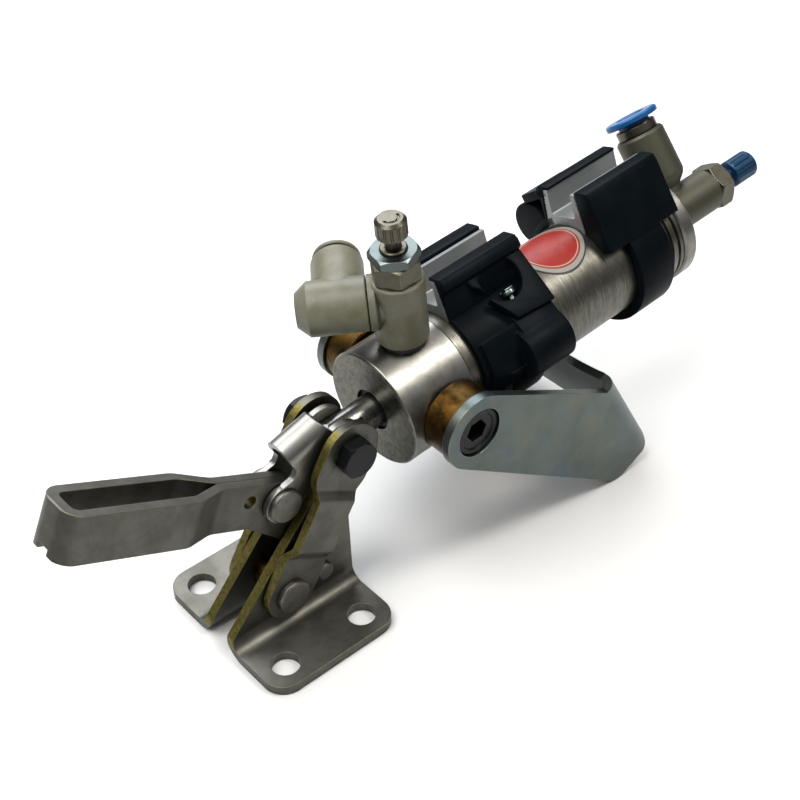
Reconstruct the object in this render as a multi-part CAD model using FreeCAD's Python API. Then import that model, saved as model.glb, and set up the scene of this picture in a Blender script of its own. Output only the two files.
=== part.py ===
import FreeCAD, Part
import math
import os
from FreeCAD import Placement, Rotation, Vector

# Pneumatic toggle clamp: two base plates, a four bar linkage with a slotted clamping arm,
# and a trunnion mounted air cylinder with two flow control fittings and two sensor brackets.
# Lengths are millimetres and angles are degrees. The origin is the centre of the four base
# holes on the underside of the flanges, X runs towards the rear of the cylinder, Z is up.

# Base plates
BOLT_PITCH_X = 26.3
BOLT_PITCH_Y = 38.8
BOLT_HOLE_R = 4.0
BASE_LENGTH = 42.0
BASE_WIDTH = 53.8
PLATE_T = 2.8
PLATE_GAP = 6.8
PLATE_BEND_R = 4.1
FLANGE_CORNER_R = 6.5
PLATE_HEIGHT = 42.7
PLATE_FRONT_TOE = 6.0
PLATE_FRONT_SLOPE = 48.2
PLATE_REAR_HEIGHT = 33.0
PLATE_APEX_R = 4.0

# Pivot centres in the XZ plane, as the clamp stands open
LINK_PIVOT = (-2.1, 13.5)
ARM_PIVOT = (10.5, 12.3)
ARM_RIVET = (0.9, 42.0)
KNEE = (20.8, 50.5)

# Clearances and fits
RUNNING_FIT = 0.05
SIDE_CLEARANCE = 0.3
OPEN_PIVOT_CLEARANCE = 0.85
THREAD_FIT = 0.05
SEAL_CLEARANCE = 0.08

# Rivets and the knee bolt
LINK_RIVET_R = 2.6
LINK_RIVET_HEAD_R = 4.9
LINK_RIVET_HEAD_H = 1.9
ARM_PIVOT_R = 2.3
ARM_PIVOT_HEAD_R = 2.75
ARM_PIVOT_HEAD_H = 2.0
ARM_RIVET_R = 2.8
ARM_RIVET_HEAD_R = 4.9
ARM_RIVET_HEAD_H = 1.6
RIVET_EDGE = 0.5
SPACER_BUSH_R = 3.8
KNEE_BOLT_R = 3.0
KNEE_HEX_AF = 10.0
KNEE_HEAD_H = 4.0
KNEE_NUT_H = 5.0
KNEE_BOLT_TAIL = 1.5
KNEE_SPACER_R = 5.0
HEX_CHAMFER = 0.6

# Links pressed from sheet, with a raised middle that clears the rivet heads
LINK_T = 2.5
LINK_LOWER_R = 7.75
LINK_UPPER_R = 9.0
LINK_HALF_WIDTH = 6.5
LINK_RAISE = 2.0
LINK_RAISE_START = 11.5
LINK_RAISE_RUN = 2.6
LINK_RAISE_END = 13.5
LINK_BEND_R = 1.6

# Toggle channel: an inverted U whose crown stands over the knee
CHANNEL_T = 1.8
CHANNEL_INNER_HALF = 3.2
CHANNEL_SLOPE = 17.2
CROWN_REAR = (15.8, 56.5)
CROWN_LENGTH = 11.8
CHANNEL_ARM_LUG_R = 5.6
CHANNEL_KNEE_LUG_R = 7.5
CHANNEL_WAIST = 3.5
SCALLOP = (5.9, 50.9)
SCALLOP_HEEL = (4.6, 48.6)

# Clamping arm: a strip folded round into a slotted bar and pinched flat at the linkage
ARM_RAISE = 25.9
ARM_STRIP_T = 3.0
ARM_HEIGHT = 13.3
ARM_TOP_OVER_RIVET = 5.74
ARM_REACH = 68.2
ARM_HALF_WIDTH = 7.1
ARM_PINCH_START = 30.4
ARM_PINCH_END = 20.9
ARM_SEAM = 0.2
ARM_NOSE_R = 5.0
ARM_JOGGLE_R = 7.0
ARM_NOSE_NOTCH = 2.0
ARM_TAIL_R = 4.5
ARM_SIDE_HOLE_R = 1.9
ARM_SIDE_HOLE = (-10.3, 0.7)

# Cylinder, along its own axis from the knee towards the rear
CYLINDER_PITCH = 5.1
HEAD_FACE = 14.7
ROD_R = 4.75
TONGUE_T = 6.0
TONGUE_SHOULDER = 8.7
HEAD_R = 17.25
HEAD_LENGTH = 22.9
HEAD_EDGE = 0.5
BARREL_R = 16.15
BORE_R = 14.3
CYLINDER_LENGTH = 113.0
END_CAP_R = 16.8
END_CAP_T = 5.0
END_CAP_EDGE = 0.6
SPIGOT_LENGTH = 6.0
CRIMP_DEPTH = 0.7
CRIMP_WIDTH = 1.3
CRIMP_PITCH = 2.9
GLAND_R = 6.25
GLAND_DEPTH = 10.0
SEAL_RECESS = 1.0
SEAL_WIDTH = 2.5
ROD_NECK_R = 5.3
PORT_CHAMBER_R = 9.0
PISTON_AT = 82.0
PISTON_LENGTH = 14.0
PISTON_NECK_R = 3.5
PISTON_NUT_AF = 11.0
PISTON_NUT_H = 4.5
PISTON_GROOVE_DEPTH = 2.2
O_RING_R = 0.9

# Trunnion and bracket
TRUNNION_AT = 13.9
TRUNNION_FLAT = 16.3
TRUNNION_BUSH_R = 10.3
TRUNNION_SCREW_R = 4.0
TRUNNION_THREAD_END = 10.0
SHOULDER_R = 7.25
SHOULDER_RECESS = 0.7
SOCKET_AF = 6.0
SOCKET_DEPTH = 5.0
BRACKET_T = 2.6
BRACKET_OUTER_HALF = 27.4
BRACKET_EYE_R = 11.1
BRACKET_BEND_R = 3.2
BRACKET_WEB_ANGLE = -58.8
BRACKET_WEB_TOP = (56.6, -12.4)
BRACKET_WEB_LENGTH = 37.1
BRACKET_TOE = (60.1, -52.6)
BRACKET_WEB_SAG = 4.5
BRACKET_HOLE_R = 3.3
BRACKET_HOLE_PITCH = 26.0
BRACKET_HOLE_DOWN = 20.0

# Front flow control, whose axis is square to the cylinder
FRONT_VALVE_AT = 13.0
PORT_THREAD_R = 4.85
GASKET_T = 1.2
GASKET_R = 6.2
FRONT_HOUSING_R = 7.2
FRONT_HOUSING_TOP = 38.2
FRONT_HEX_AF = 12.0
FRONT_HEX_H = 5.8
LOCKNUT_H = 3.0
LOCKNUT_AF = 12.0
FRONT_NECK_R = 3.6
NEEDLE_R = 2.15
FRONT_KNOB_R = 4.2
FRONT_KNOB_H = 5.6
FRONT_KNOB_GAP = 4.0
KNOB_FLUTES = 14
FRONT_STUB_TURN = 143.0
FRONT_STUB_HEIGHT = 30.5
STUB_FLANGE_R = 7.5
STUB_END = 7.9
ELBOW_R = 7.4
ELBOW_PORT_R = 7.2
ELBOW_CROSS = 15.5
ELBOW_END = 23.6
ELBOW_NOSE = 26.9
ELBOW_NOSE_R = 4.6
ELBOW_PORT_LENGTH = 17.5

# Push-in tube ports
TUBE_R = 4.1
TUBE_DEPTH = 12.0
COLLET_R = 5.4
COLLAR_WALL = 0.9
COLLAR_GAP = 1.2

# Rear flow control, screwed into the end cap on the cylinder's axis
REAR_SEAL_T = 1.6
REAR_SEAL_R = 6.6
BANJO_R = 6.75
BANJO_LENGTH = 22.5
REAR_HEX_AF = 13.0
REAR_HEX_H = 5.4
REAR_RING_H = 2.4
REAR_RING_R = 5.6
REAR_KNOB_R = 4.3
REAR_KNOB_H = 9.6
REAR_KNOB_GAP = 2.6
REAR_PORT_TURN = 52.0
REAR_PORT_AT = 8.2
REAR_NECK_R = 4.6
REAR_PORT_R = 7.6
REAR_PORT_START = 9.5
REAR_PORT_END = 26.0
REAR_COLLAR_R = 6.3
REAR_COLLAR_H = 3.0
REAR_RELEASE_R = 8.3
REAR_RELEASE_T = 1.9

# Sensor brackets, two of the same kind on the barrel
FRONT_RAIL_AT = 40.5
REAR_RAIL_AT = 93.5
RAIL_LENGTH = 28.0
RAIL_TURN = 17.0
RAIL_TOP = 26.5
RAIL_TOP_HALF = 6.3
RAIL_FOOT_HALF = 7.6
RAIL_WALL = 1.6
RAIL_FLOOR = 18.8
RAIL_SERRATIONS = 3
BAND_R = 19.2
BAND_WIDTH = 13.0
BAND_CLEARANCE = 0.05
BAND_TILT = 17.0
BAND_PLATE_END = 4.6
LIP_H = 1.0
LOBE_R = 7.8
LOBE_CENTRE = (-17.0, 1.2)
CLAMP_PLATE_T = 2.4
CLAMP_OUT = 19.5
CLAMP_CUTOUT_R = 5.6
CLAMP_TONGUE = 11.0
CLAMP_SCREW_R = 1.5
CLAMP_SCREW_OUT = 19.9
CLAMP_HEAD_R = 2.9
CLAMP_HEAD_H = 1.8
CLAMP_NUT_AF = 5.5
CLAMP_NUT_H = 2.4
CLAMP_NUT_SEAT = 3.0

# Label on the barrel
LABEL_AT = 68.3
LABEL_T = 0.12
LABEL_HALF_LENGTH = 11.1
LABEL_HALF_WIDTH = 10.2
LABEL_TURN = 3.0

# Sizes worked out from the ones above
PLATE_INNER = PLATE_GAP / 2
PLATE_OUTER = PLATE_INNER + PLATE_T
LINK_INNER = PLATE_OUTER + SIDE_CLEARANCE
LINK_OUTER = LINK_INNER + LINK_T
CHANNEL_OUTER = CHANNEL_INNER_HALF + CHANNEL_T
BRACKET_INNER = BRACKET_OUTER_HALF - BRACKET_T
LINK_LENGTH = math.hypot(KNEE[0] - LINK_PIVOT[0], KNEE[1] - LINK_PIVOT[1])
LINK_ANGLE = math.degrees(math.atan2(KNEE[1] - LINK_PIVOT[1], KNEE[0] - LINK_PIVOT[0]))
CHANNEL_ANGLE = math.degrees(math.atan2(KNEE[1] - ARM_RIVET[1], KNEE[0] - ARM_RIVET[0]))
RETAINER_FRONT = HEAD_FACE + HEAD_LENGTH
END_CAP_FRONT = HEAD_FACE + CYLINDER_LENGTH - END_CAP_T
CYLINDER_REAR = HEAD_FACE + CYLINDER_LENGTH
SPOT_FACE = HEAD_R - 0.4
FAR = 200.0

os.makedirs("parts", exist_ok=True)


# Drawing helpers

PLANES = {
    "xz": (lambda a, b: Vector(a, 0, b), Vector(0, 1, 0)),
    "xy": (lambda a, b: Vector(a, b, 0), Vector(0, 0, 1)),
    "yz": (lambda a, b: Vector(0, a, b), Vector(1, 0, 0)),
}


def outline(corners, plane):
    """Closed wire through corners (a, b, radius), with each corner rounded to its radius."""
    point = PLANES[plane][0]
    places = [point(a, b) for a, b, _ in corners]
    edges = []
    firsts = []
    lasts = []
    arcs = []
    count = len(corners)
    for i, here in enumerate(places):
        radius = corners[i][2]
        back = (places[i - 1] - here).normalize()
        ahead = (places[(i + 1) % count] - here).normalize()
        half = back.getAngle(ahead) / 2
        if radius <= 0:
            firsts.append(here)
            lasts.append(here)
            arcs.append(None)
            continue
        reach = radius / math.tan(half)
        inward = (back + ahead).normalize()
        firsts.append(here + back * reach)
        lasts.append(here + ahead * reach)
        arcs.append(here + inward * (radius / math.sin(half) - radius))
    for i in range(count):
        start = lasts[i - 1]
        if (firsts[i] - start).Length > 1e-6:
            edges.append(Part.LineSegment(start, firsts[i]).toShape())
        if arcs[i] is not None:
            edges.append(Part.Arc(firsts[i], arcs[i], lasts[i]).toShape())
    return Part.Wire(Part.__sortEdges__(edges))


def prism(corners, plane, low, high):
    """Solid whose section is the rounded outline, from low to high along the plane's normal."""
    normal = PLANES[plane][1]
    face = Part.Face(outline(corners, plane))
    face.translate(normal * low)
    return face.extrude(normal * (high - low))


def rectangle(a0, b0, a1, b1, radius=0):
    """Corners of a rectangle, all with one radius."""
    return [(a0, b0, radius), (a1, b0, radius), (a1, b1, radius), (a0, b1, radius)]


def turned(profile, frame=None):
    """Solid of revolution about local Z from (radius, height) points, placed by a frame."""
    points = [Vector(radius, 0, height) for radius, height in profile]
    face = Part.Face(Part.makePolygon(points + [points[0]]))
    shape = face.revolve(Vector(0, 0, 0), Vector(0, 0, 1), 360)
    return placed(shape, frame) if frame else shape


def ring(inner, outer, low, high, edge=0.0):
    """Profile of a plain ring, with its outer edges broken."""
    return [(inner, low), (outer - edge, low), (outer, low + edge), (outer, high - edge),
            (outer - edge, high), (inner, high)]


def hexagon(across_flats, low, high, chamfered=(True, True)):
    """Hexagonal prism along Z with its corners turned off at the chosen ends."""
    corner_r = across_flats / math.sqrt(3)
    points = [Vector(corner_r * math.cos(math.radians(60 * i)),
                     corner_r * math.sin(math.radians(60 * i)), low) for i in range(7)]
    block = Part.Face(Part.makePolygon(points)).extrude(Vector(0, 0, high - low))
    lower = HEX_CHAMFER if chamfered[0] else 0
    upper = HEX_CHAMFER if chamfered[1] else 0
    flat_r = across_flats / 2
    turning = [(0, low), (corner_r if lower == 0 else flat_r, low), (corner_r, low + lower),
               (corner_r, high - upper), (corner_r if upper == 0 else flat_r, high), (0, high)]
    turning = [p for i, p in enumerate(turning) if i == 0 or p != turning[i - 1]]
    return block.common(turned(turning))


def placed(shape, frame):
    """Copy of a shape moved from a local frame into the frame around it."""
    copy = shape.copy()
    copy.Placement = frame.multiply(copy.Placement)
    return copy


def mirrored(shape):
    """The same shape on the other side of the middle plane."""
    return shape.mirror(Vector(0, 0, 0), Vector(0, 1, 0))


def frame_along(origin, direction):
    """Frame at a point whose Z runs along a direction."""
    return Placement(origin, Rotation(Vector(0, 0, 1), direction))


def across(pivot):
    """Frame at a pivot centre whose Z runs across the clamp."""
    return frame_along(Vector(pivot[0], 0, pivot[1]), Vector(0, 1, 0))


def hole(pivot, radius):
    """Cutter through every piece at a pivot centre."""
    return turned([(0, -FAR), (radius, -FAR), (radius, FAR), (0, FAR)], across(pivot))


def save(name, shape):
    """Writes one sub-part."""
    solids = shape.Solids
    body = solids[0] if len(solids) == 1 else Part.makeCompound(solids)
    body.exportStep(f"parts/{name}.step")


# Base plates with their rivets and bush

def base_plate():
    """Right-angle plate: an upright cheek that carries the pivots and a bolted flange."""
    half_length = BASE_LENGTH / 2
    half_width = BASE_WIDTH / 2
    section = [(PLATE_INNER, 0, PLATE_BEND_R + PLATE_T), (half_width, 0, 0), (half_width, PLATE_T, 0),
               (PLATE_OUTER, PLATE_T, PLATE_BEND_R), (PLATE_OUTER, PLATE_HEIGHT + 9, 0),
               (PLATE_INNER, PLATE_HEIGHT + 9, 0)]
    slope = math.tan(math.radians(PLATE_FRONT_SLOPE))
    toe = (-half_length + 0.5, PLATE_FRONT_TOE)
    apex_z = PLATE_HEIGHT + 3.3
    apex = (toe[0] + (apex_z - toe[1]) / slope, apex_z)
    side = [(-half_length, -1, 0), (half_length, -1, 0), (half_length, PLATE_BEND_R + PLATE_T, 0),
            (half_length - 0.5, PLATE_REAR_HEIGHT, 5.0), (apex[0], apex[1], PLATE_APEX_R),
            (toe[0], toe[1], 3.0), (-half_length, toe[1] - 2.0, 0)]
    plan = [(-half_length, 0, 0), (half_length, 0, 0), (half_length, half_width, FLANGE_CORNER_R),
            (-half_length, half_width, FLANGE_CORNER_R)]
    shape = prism(section, "yz", -half_length, half_length)
    shape = shape.common(prism(side, "xz", 0, half_width))
    shape = shape.common(prism(plan, "xy", -1, PLATE_HEIGHT + 20))
    for end in (-1, 1):
        centre = Vector(end * BOLT_PITCH_X / 2, BOLT_PITCH_Y / 2, -1)
        shape = shape.cut(Part.makeCylinder(BOLT_HOLE_R, PLATE_T + 2, centre))
    shape = shape.cut(hole(LINK_PIVOT, LINK_RIVET_R + RUNNING_FIT))
    return shape.cut(hole(ARM_PIVOT, ARM_PIVOT_R + RUNNING_FIT))


def rivet(pivot, shank_r, head_r, grip, head_h):
    """Rivet across the clamp with a low head on both sides of what it grips."""
    top = grip + head_h
    profile = [(0, -top), (head_r - RIVET_EDGE, -top), (head_r, RIVET_EDGE - top), (head_r, -grip),
               (shank_r, -grip), (shank_r, grip), (head_r, grip), (head_r, top - RIVET_EDGE),
               (head_r - RIVET_EDGE, top), (0, top)]
    return turned(profile, across(pivot))


plate = base_plate()
save("base_plate_left", plate)
save("base_plate_right", mirrored(plate))
save("link_pivot_rivet", rivet(LINK_PIVOT, LINK_RIVET_R, LINK_RIVET_HEAD_R, LINK_OUTER, LINK_RIVET_HEAD_H))
save("arm_pivot_rivet", rivet(ARM_PIVOT, ARM_PIVOT_R, ARM_PIVOT_HEAD_R, PLATE_OUTER, ARM_PIVOT_HEAD_H))
save("pivot_spacer_bush", turned(ring(LINK_RIVET_R + RUNNING_FIT, SPACER_BUSH_R, -PLATE_INNER, PLATE_INNER),
                                 across(LINK_PIVOT)))


# Links and the knee

def link():
    """Pressed link: flat eyes at both ends and a raised middle panel."""
    raise_end = LINK_LENGTH - LINK_RAISE_END
    lower, upper, half = LINK_LOWER_R, LINK_UPPER_R, LINK_HALF_WIDTH
    side = [(-lower, -lower, lower - 0.05), (lower + 1.5, -lower, 6.0), (lower + 6.0, -half, 8.0),
            (raise_end, -half, 8.0), (raise_end + 6.0, -upper, 6.0),
            (LINK_LENGTH + upper, -upper, upper - 0.05)]
    side = side + [(a, -b, r) for a, b, r in reversed(side)]
    low, high = LINK_INNER, LINK_INNER + LINK_RAISE
    start, run = LINK_RAISE_START, LINK_RAISE_RUN
    inner = [(-FAR, low, 0), (start, low, LINK_BEND_R), (start + run, high, LINK_BEND_R),
             (raise_end, high, LINK_BEND_R), (raise_end + run, low, LINK_BEND_R), (FAR, low, 0)]
    outer = [(a, b + LINK_T, r) for a, b, r in reversed(inner)]
    shape = prism(side, "xz", 0, FAR).common(prism(inner + outer, "xy", -FAR, FAR))
    frame = Placement(Vector(LINK_PIVOT[0], 0, LINK_PIVOT[1]), Rotation(Vector(0, 1, 0), -LINK_ANGLE))
    shape = placed(shape, frame)
    shape = shape.cut(hole(LINK_PIVOT, LINK_RIVET_R + RUNNING_FIT))
    return shape.cut(hole(KNEE, KNEE_BOLT_R + RUNNING_FIT))


def knee_bolt():
    """Hexagon bolt whose head lies on the right-hand link."""
    head = hexagon(KNEE_HEX_AF, -LINK_OUTER - KNEE_HEAD_H, -LINK_OUTER, (True, False))
    tail = LINK_OUTER + KNEE_NUT_H + KNEE_BOLT_TAIL
    shank = turned(ring(0, KNEE_BOLT_R, -LINK_OUTER, tail, 0.4))
    return placed(head.fuse(shank), across(KNEE))


def knee_nut():
    """Nut on the left-hand link."""
    nut = hexagon(KNEE_HEX_AF, LINK_OUTER, LINK_OUTER + KNEE_NUT_H)
    return placed(nut, across(KNEE)).cut(hole(KNEE, KNEE_BOLT_R + THREAD_FIT))


def knee_spacers():
    """Two washers that keep the channel in the middle of the links."""
    low, high = CHANNEL_OUTER, LINK_INNER
    near = turned(ring(KNEE_BOLT_R + RUNNING_FIT, KNEE_SPACER_R, low, high), across(KNEE))
    return Part.makeCompound([near, mirrored(near)])


left_link = link()
save("link_left", left_link)
save("link_right", mirrored(left_link))
save("knee_bolt", knee_bolt())
save("knee_nut", knee_nut())
save("knee_spacers", knee_spacers())


# Toggle channel

def toggle_channel():
    """Inverted U of sheet with a round crown, an eye at the knee and an eye at the arm."""
    outer, inner = CHANNEL_OUTER, CHANNEL_INNER_HALF
    shell = prism([(-outer, -FAR, 0), (outer, -FAR, 0), (outer, outer, outer - 0.02),
                   (-outer, outer, outer - 0.02)], "yz", -FAR, FAR)
    room = prism([(-inner, -FAR, 0), (inner, -FAR, 0), (inner, inner, inner - 0.02),
                  (-inner, inner, inner - 0.02)], "yz", -FAR, FAR)
    crown_frame = Placement(Vector(CROWN_REAR[0], 0, CROWN_REAR[1]),
                            Rotation(Vector(0, 1, 0), -CHANNEL_SLOPE))
    section = placed(shell.cut(room), crown_frame)
    slope, turn = math.radians(CHANNEL_SLOPE), math.radians(CHANNEL_ANGLE)
    along = (math.cos(slope), math.sin(slope))
    up = (-along[1], along[0])
    square = (-math.sin(turn), math.cos(turn))
    front = (CROWN_REAR[0] - CROWN_LENGTH * along[0], CROWN_REAR[1] - CROWN_LENGTH * along[1])
    over = outer + 0.5

    def beside(pivot, distance, radius):
        return (pivot[0] + square[0] * distance, pivot[1] + square[1] * distance, radius)

    side = [beside(ARM_RIVET, -CHANNEL_WAIST, 0), beside(KNEE, -CHANNEL_WAIST, 0),
            beside(KNEE, CHANNEL_KNEE_LUG_R - 0.2, 0),
            (CROWN_REAR[0] + up[0] * over, CROWN_REAR[1] + up[1] * over, 0),
            (front[0] + up[0] * over, front[1] + up[1] * over, 0),
            (front[0], front[1], 1.2), (SCALLOP[0], SCALLOP[1], 1.2),
            (SCALLOP_HEEL[0], SCALLOP_HEEL[1], 2.0),
            beside(ARM_RIVET, CHANNEL_ARM_LUG_R - 0.2, 0)]
    blank = prism(side, "xz", -outer, outer)
    for pivot, radius in ((ARM_RIVET, CHANNEL_ARM_LUG_R), (KNEE, CHANNEL_KNEE_LUG_R)):
        blank = blank.fuse(turned(ring(0, radius, -outer, outer), across(pivot)))
    shape = section.common(blank)
    shape = shape.cut(hole(ARM_RIVET, ARM_RIVET_R + OPEN_PIVOT_CLEARANCE))
    return shape.cut(hole(KNEE, KNEE_BOLT_R + RUNNING_FIT))


save("toggle_channel", toggle_channel())


# Clamping arm

def clamp_arm():
    """Strip folded round the slot, pinched flat between the cheeks and drilled for its pivots."""
    top = ARM_TOP_OVER_RIVET
    bottom = top - ARM_HEIGHT
    raise_angle = math.radians(ARM_RAISE)
    dx, dz = ARM_PIVOT[0] - ARM_RIVET[0], ARM_PIVOT[1] - ARM_RIVET[1]
    tail = (dx * math.cos(raise_angle) - dz * math.sin(raise_angle),
            dx * math.sin(raise_angle) + dz * math.cos(raise_angle))
    side = [(-ARM_REACH, bottom, 0.6), (-ARM_REACH, top, 0.6), (4.6, top, 4.5), (8.2, -1.0, 4.0),
            (tail[0] + 3.2, tail[1] + 3.1, 0), (tail[0] - 3.4, tail[1] - 2.8, 0),
            (10.6, -14.4, 5.0), (-8.5, bottom, 3.0)]
    blank = prism(side, "xz", -ARM_HALF_WIDTH, ARM_HALF_WIDTH)
    eye = turned(ring(0, ARM_TAIL_R, -ARM_HALF_WIDTH, ARM_HALF_WIDTH), across(tail))
    blank = blank.fuse(eye)
    pinched, wide = ARM_STRIP_T, ARM_HALF_WIDTH
    outer = [(FAR, pinched, 0), (-ARM_PINCH_END, pinched, ARM_JOGGLE_R),
             (-ARM_PINCH_START, wide, ARM_JOGGLE_R), (-ARM_REACH, wide, ARM_NOSE_R)]
    inner = [(FAR, ARM_SEAM / 2, 0), (-ARM_PINCH_END, ARM_SEAM / 2, ARM_JOGGLE_R - ARM_STRIP_T),
             (-ARM_PINCH_START, wide - ARM_STRIP_T, ARM_JOGGLE_R - ARM_STRIP_T),
             (ARM_STRIP_T - ARM_REACH, wide - ARM_STRIP_T, ARM_NOSE_R - ARM_STRIP_T)]
    loop = prism(outer + [(a, -b, r) for a, b, r in reversed(outer)], "xy", -FAR, FAR)
    slot = prism(inner + [(a, -b, r) for a, b, r in reversed(inner)], "xy", -FAR, FAR)
    shape = blank.common(loop).cut(slot)
    notch = prism(rectangle(-ARM_REACH - 1, bottom - 1, ARM_NOSE_R - ARM_REACH, bottom + ARM_NOSE_NOTCH),
                  "xz", ARM_NOSE_R - wide, wide - ARM_NOSE_R)
    shape = shape.cut(notch)
    side_hole = turned(ring(0, ARM_SIDE_HOLE_R, -FAR, FAR), across(ARM_SIDE_HOLE))
    shape = shape.cut(side_hole)
    frame = Placement(Vector(ARM_RIVET[0], 0, ARM_RIVET[1]), Rotation(Vector(0, 1, 0), ARM_RAISE))
    shape = placed(shape, frame)
    shape = shape.cut(hole(ARM_RIVET, ARM_RIVET_R + THREAD_FIT))
    return shape.cut(hole(ARM_PIVOT, ARM_PIVOT_R + RUNNING_FIT))


save("clamp_arm", clamp_arm())
save("arm_channel_rivet", rivet(ARM_RIVET, ARM_RIVET_R, ARM_RIVET_HEAD_R, CHANNEL_OUTER, ARM_RIVET_HEAD_H))


# Cylinder. Its frame has X along the axis from the knee and Z square to it, nearly upright.

CYLINDER = Placement(Vector(KNEE[0], 0, KNEE[1]), Rotation(Vector(0, 1, 0), -CYLINDER_PITCH))
ALONG = frame_along(Vector(0, 0, 0), Vector(1, 0, 0))


def save_on_cylinder(name, shape):
    """Writes a sub-part that was drawn in the cylinder's frame."""
    save(name, placed(shape, CYLINDER))


def piston_rod():
    """Rod with a flattened, rounded tongue at the knee and a neck for the piston."""
    piston_front = HEAD_FACE + PISTON_AT
    end = piston_front + PISTON_LENGTH + PISTON_NUT_H + 0.6
    shaft = turned([(0, -ROD_R), (ROD_R, -ROD_R), (ROD_R, piston_front), (PISTON_NECK_R, piston_front),
                    (PISTON_NECK_R, end - 0.5), (PISTON_NECK_R - 0.5, end), (0, end)], ALONG)
    flat = TONGUE_T / 2
    for side in (-1, 1):
        low, high = sorted((side * flat, side * FAR))
        shaft = shaft.cut(prism(rectangle(-FAR, -FAR, TONGUE_SHOULDER, FAR), "xz", low, high))
    nose = turned(ring(0, ROD_R, -ROD_R, ROD_R), across((0, 0)))
    body = prism(rectangle(0, -ROD_R, end + 1, ROD_R), "xz", -ROD_R, ROD_R)
    shape = shaft.common(nose.fuse(body))
    return shape.cut(turned(ring(0, KNEE_BOLT_R + RUNNING_FIT, -FAR, FAR), across((0, 0))))


def piston_grooves():
    """Places of the two lip seals and the magnet along the piston, as (start, width)."""
    width = PISTON_LENGTH / 6
    return [(1.2, width), (PISTON_LENGTH / 2 - width * 0.6, width * 1.2), (PISTON_LENGTH - 1.2 - width, width)]


def piston():
    """Aluminium piston with two seal grooves and a magnet groove."""
    front = HEAD_FACE + PISTON_AT
    radius = BORE_R - SIDE_CLEARANCE
    shape = turned(ring(PISTON_NECK_R + THREAD_FIT, radius, front, front + PISTON_LENGTH, 0.4), ALONG)
    for start, width in piston_grooves():
        cutter = ring(radius - PISTON_GROOVE_DEPTH, radius + 1, front + start, front + start + width)
        shape = shape.cut(turned(cutter, ALONG))
    return shape


def piston_rings(which, clearance):
    """Rings that fill the chosen grooves of the piston."""
    front = HEAD_FACE + PISTON_AT
    inner = BORE_R - SIDE_CLEARANCE - PISTON_GROOVE_DEPTH
    made = []
    for index in which:
        start, width = piston_grooves()[index]
        made.append(turned(ring(inner, BORE_R - clearance, front + start, front + start + width, 0.3), ALONG))
    return Part.makeCompound(made)


def head_cap():
    """Turned head with rod gland, trunnion flats, air port and the spigot that enters the barrel."""
    face, rear = HEAD_FACE, HEAD_FACE + HEAD_LENGTH
    gland_end = face + GLAND_DEPTH
    spigot = BORE_R - THREAD_FIT
    shape = turned([(GLAND_R, face), (HEAD_R - HEAD_EDGE, face), (HEAD_R, face + HEAD_EDGE),
                    (HEAD_R, rear - HEAD_EDGE), (HEAD_R - HEAD_EDGE, rear), (spigot, rear),
                    (spigot, rear + SPIGOT_LENGTH), (PORT_CHAMBER_R, rear + SPIGOT_LENGTH),
                    (PORT_CHAMBER_R, gland_end + 1.5), (ROD_NECK_R, gland_end + 1.5),
                    (ROD_NECK_R, gland_end), (GLAND_R, gland_end)], ALONG)
    groove = rear + SPIGOT_LENGTH / 2
    shape = shape.cut(turned(ring(spigot - 1.5 * O_RING_R, spigot + 1, groove - O_RING_R, groove + O_RING_R), ALONG))
    trunnion = Vector(face + TRUNNION_AT, 0, 0)
    for side in (-1, 1):
        axis = Vector(0, side, 0)
        flat = Part.makeCylinder(TRUNNION_BUSH_R + 0.1, HEAD_R, trunnion + axis * TRUNNION_FLAT, axis)
        screw = Part.makeCylinder(TRUNNION_SCREW_R + THREAD_FIT, HEAD_R, trunnion + axis * TRUNNION_THREAD_END, axis)
        shape = shape.cut(flat).cut(screw)
    port = Vector(face + FRONT_VALVE_AT, 0, 0)
    shape = shape.cut(Part.makeCylinder(PORT_THREAD_R + THREAD_FIT, HEAD_R + 2, port, Vector(0, 0, 1)))
    shape = shape.cut(Part.makeCylinder(GASKET_R + 0.1, 5, port + Vector(0, 0, SPOT_FACE), Vector(0, 0, 1)))
    notch = Part.makeCylinder(1.0, 1.2, Vector(face - 0.2, 0, -GLAND_R), Vector(1, 0, 0))
    return shape.cut(notch)


def barrel():
    """Drawn tube, rolled into two grooves where it holds the end cap."""
    start, end = RETAINER_FRONT, END_CAP_FRONT
    shape = turned(ring(BORE_R, BARREL_R, start, end, 0.3), ALONG)
    for index in range(2):
        at = end - 1.4 - CRIMP_WIDTH - index * CRIMP_PITCH
        edge = CRIMP_DEPTH / 2
        groove = [(BARREL_R - CRIMP_DEPTH, at + edge), (BARREL_R - CRIMP_DEPTH, at + CRIMP_WIDTH - edge),
                  (BARREL_R + 0.1, at + CRIMP_WIDTH), (BARREL_R + 0.1, at)]
        shape = shape.cut(turned(groove, ALONG))
    return shape


def end_cap():
    """Turned rear cap with a spigot in the barrel and a threaded port on the axis."""
    front, rear = END_CAP_FRONT, CYLINDER_REAR
    spigot = BORE_R - THREAD_FIT
    port = PORT_THREAD_R + THREAD_FIT
    shape = turned([(port, front - SPIGOT_LENGTH), (spigot, front - SPIGOT_LENGTH), (spigot, front),
                    (END_CAP_R - END_CAP_EDGE, front), (END_CAP_R, front + END_CAP_EDGE),
                    (END_CAP_R, rear - END_CAP_EDGE), (END_CAP_R - END_CAP_EDGE, rear), (port, rear)], ALONG)
    groove = front - SPIGOT_LENGTH / 2
    return shape.cut(turned(ring(spigot - 1.5 * O_RING_R, spigot + 1, groove - O_RING_R, groove + O_RING_R), ALONG))


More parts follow.
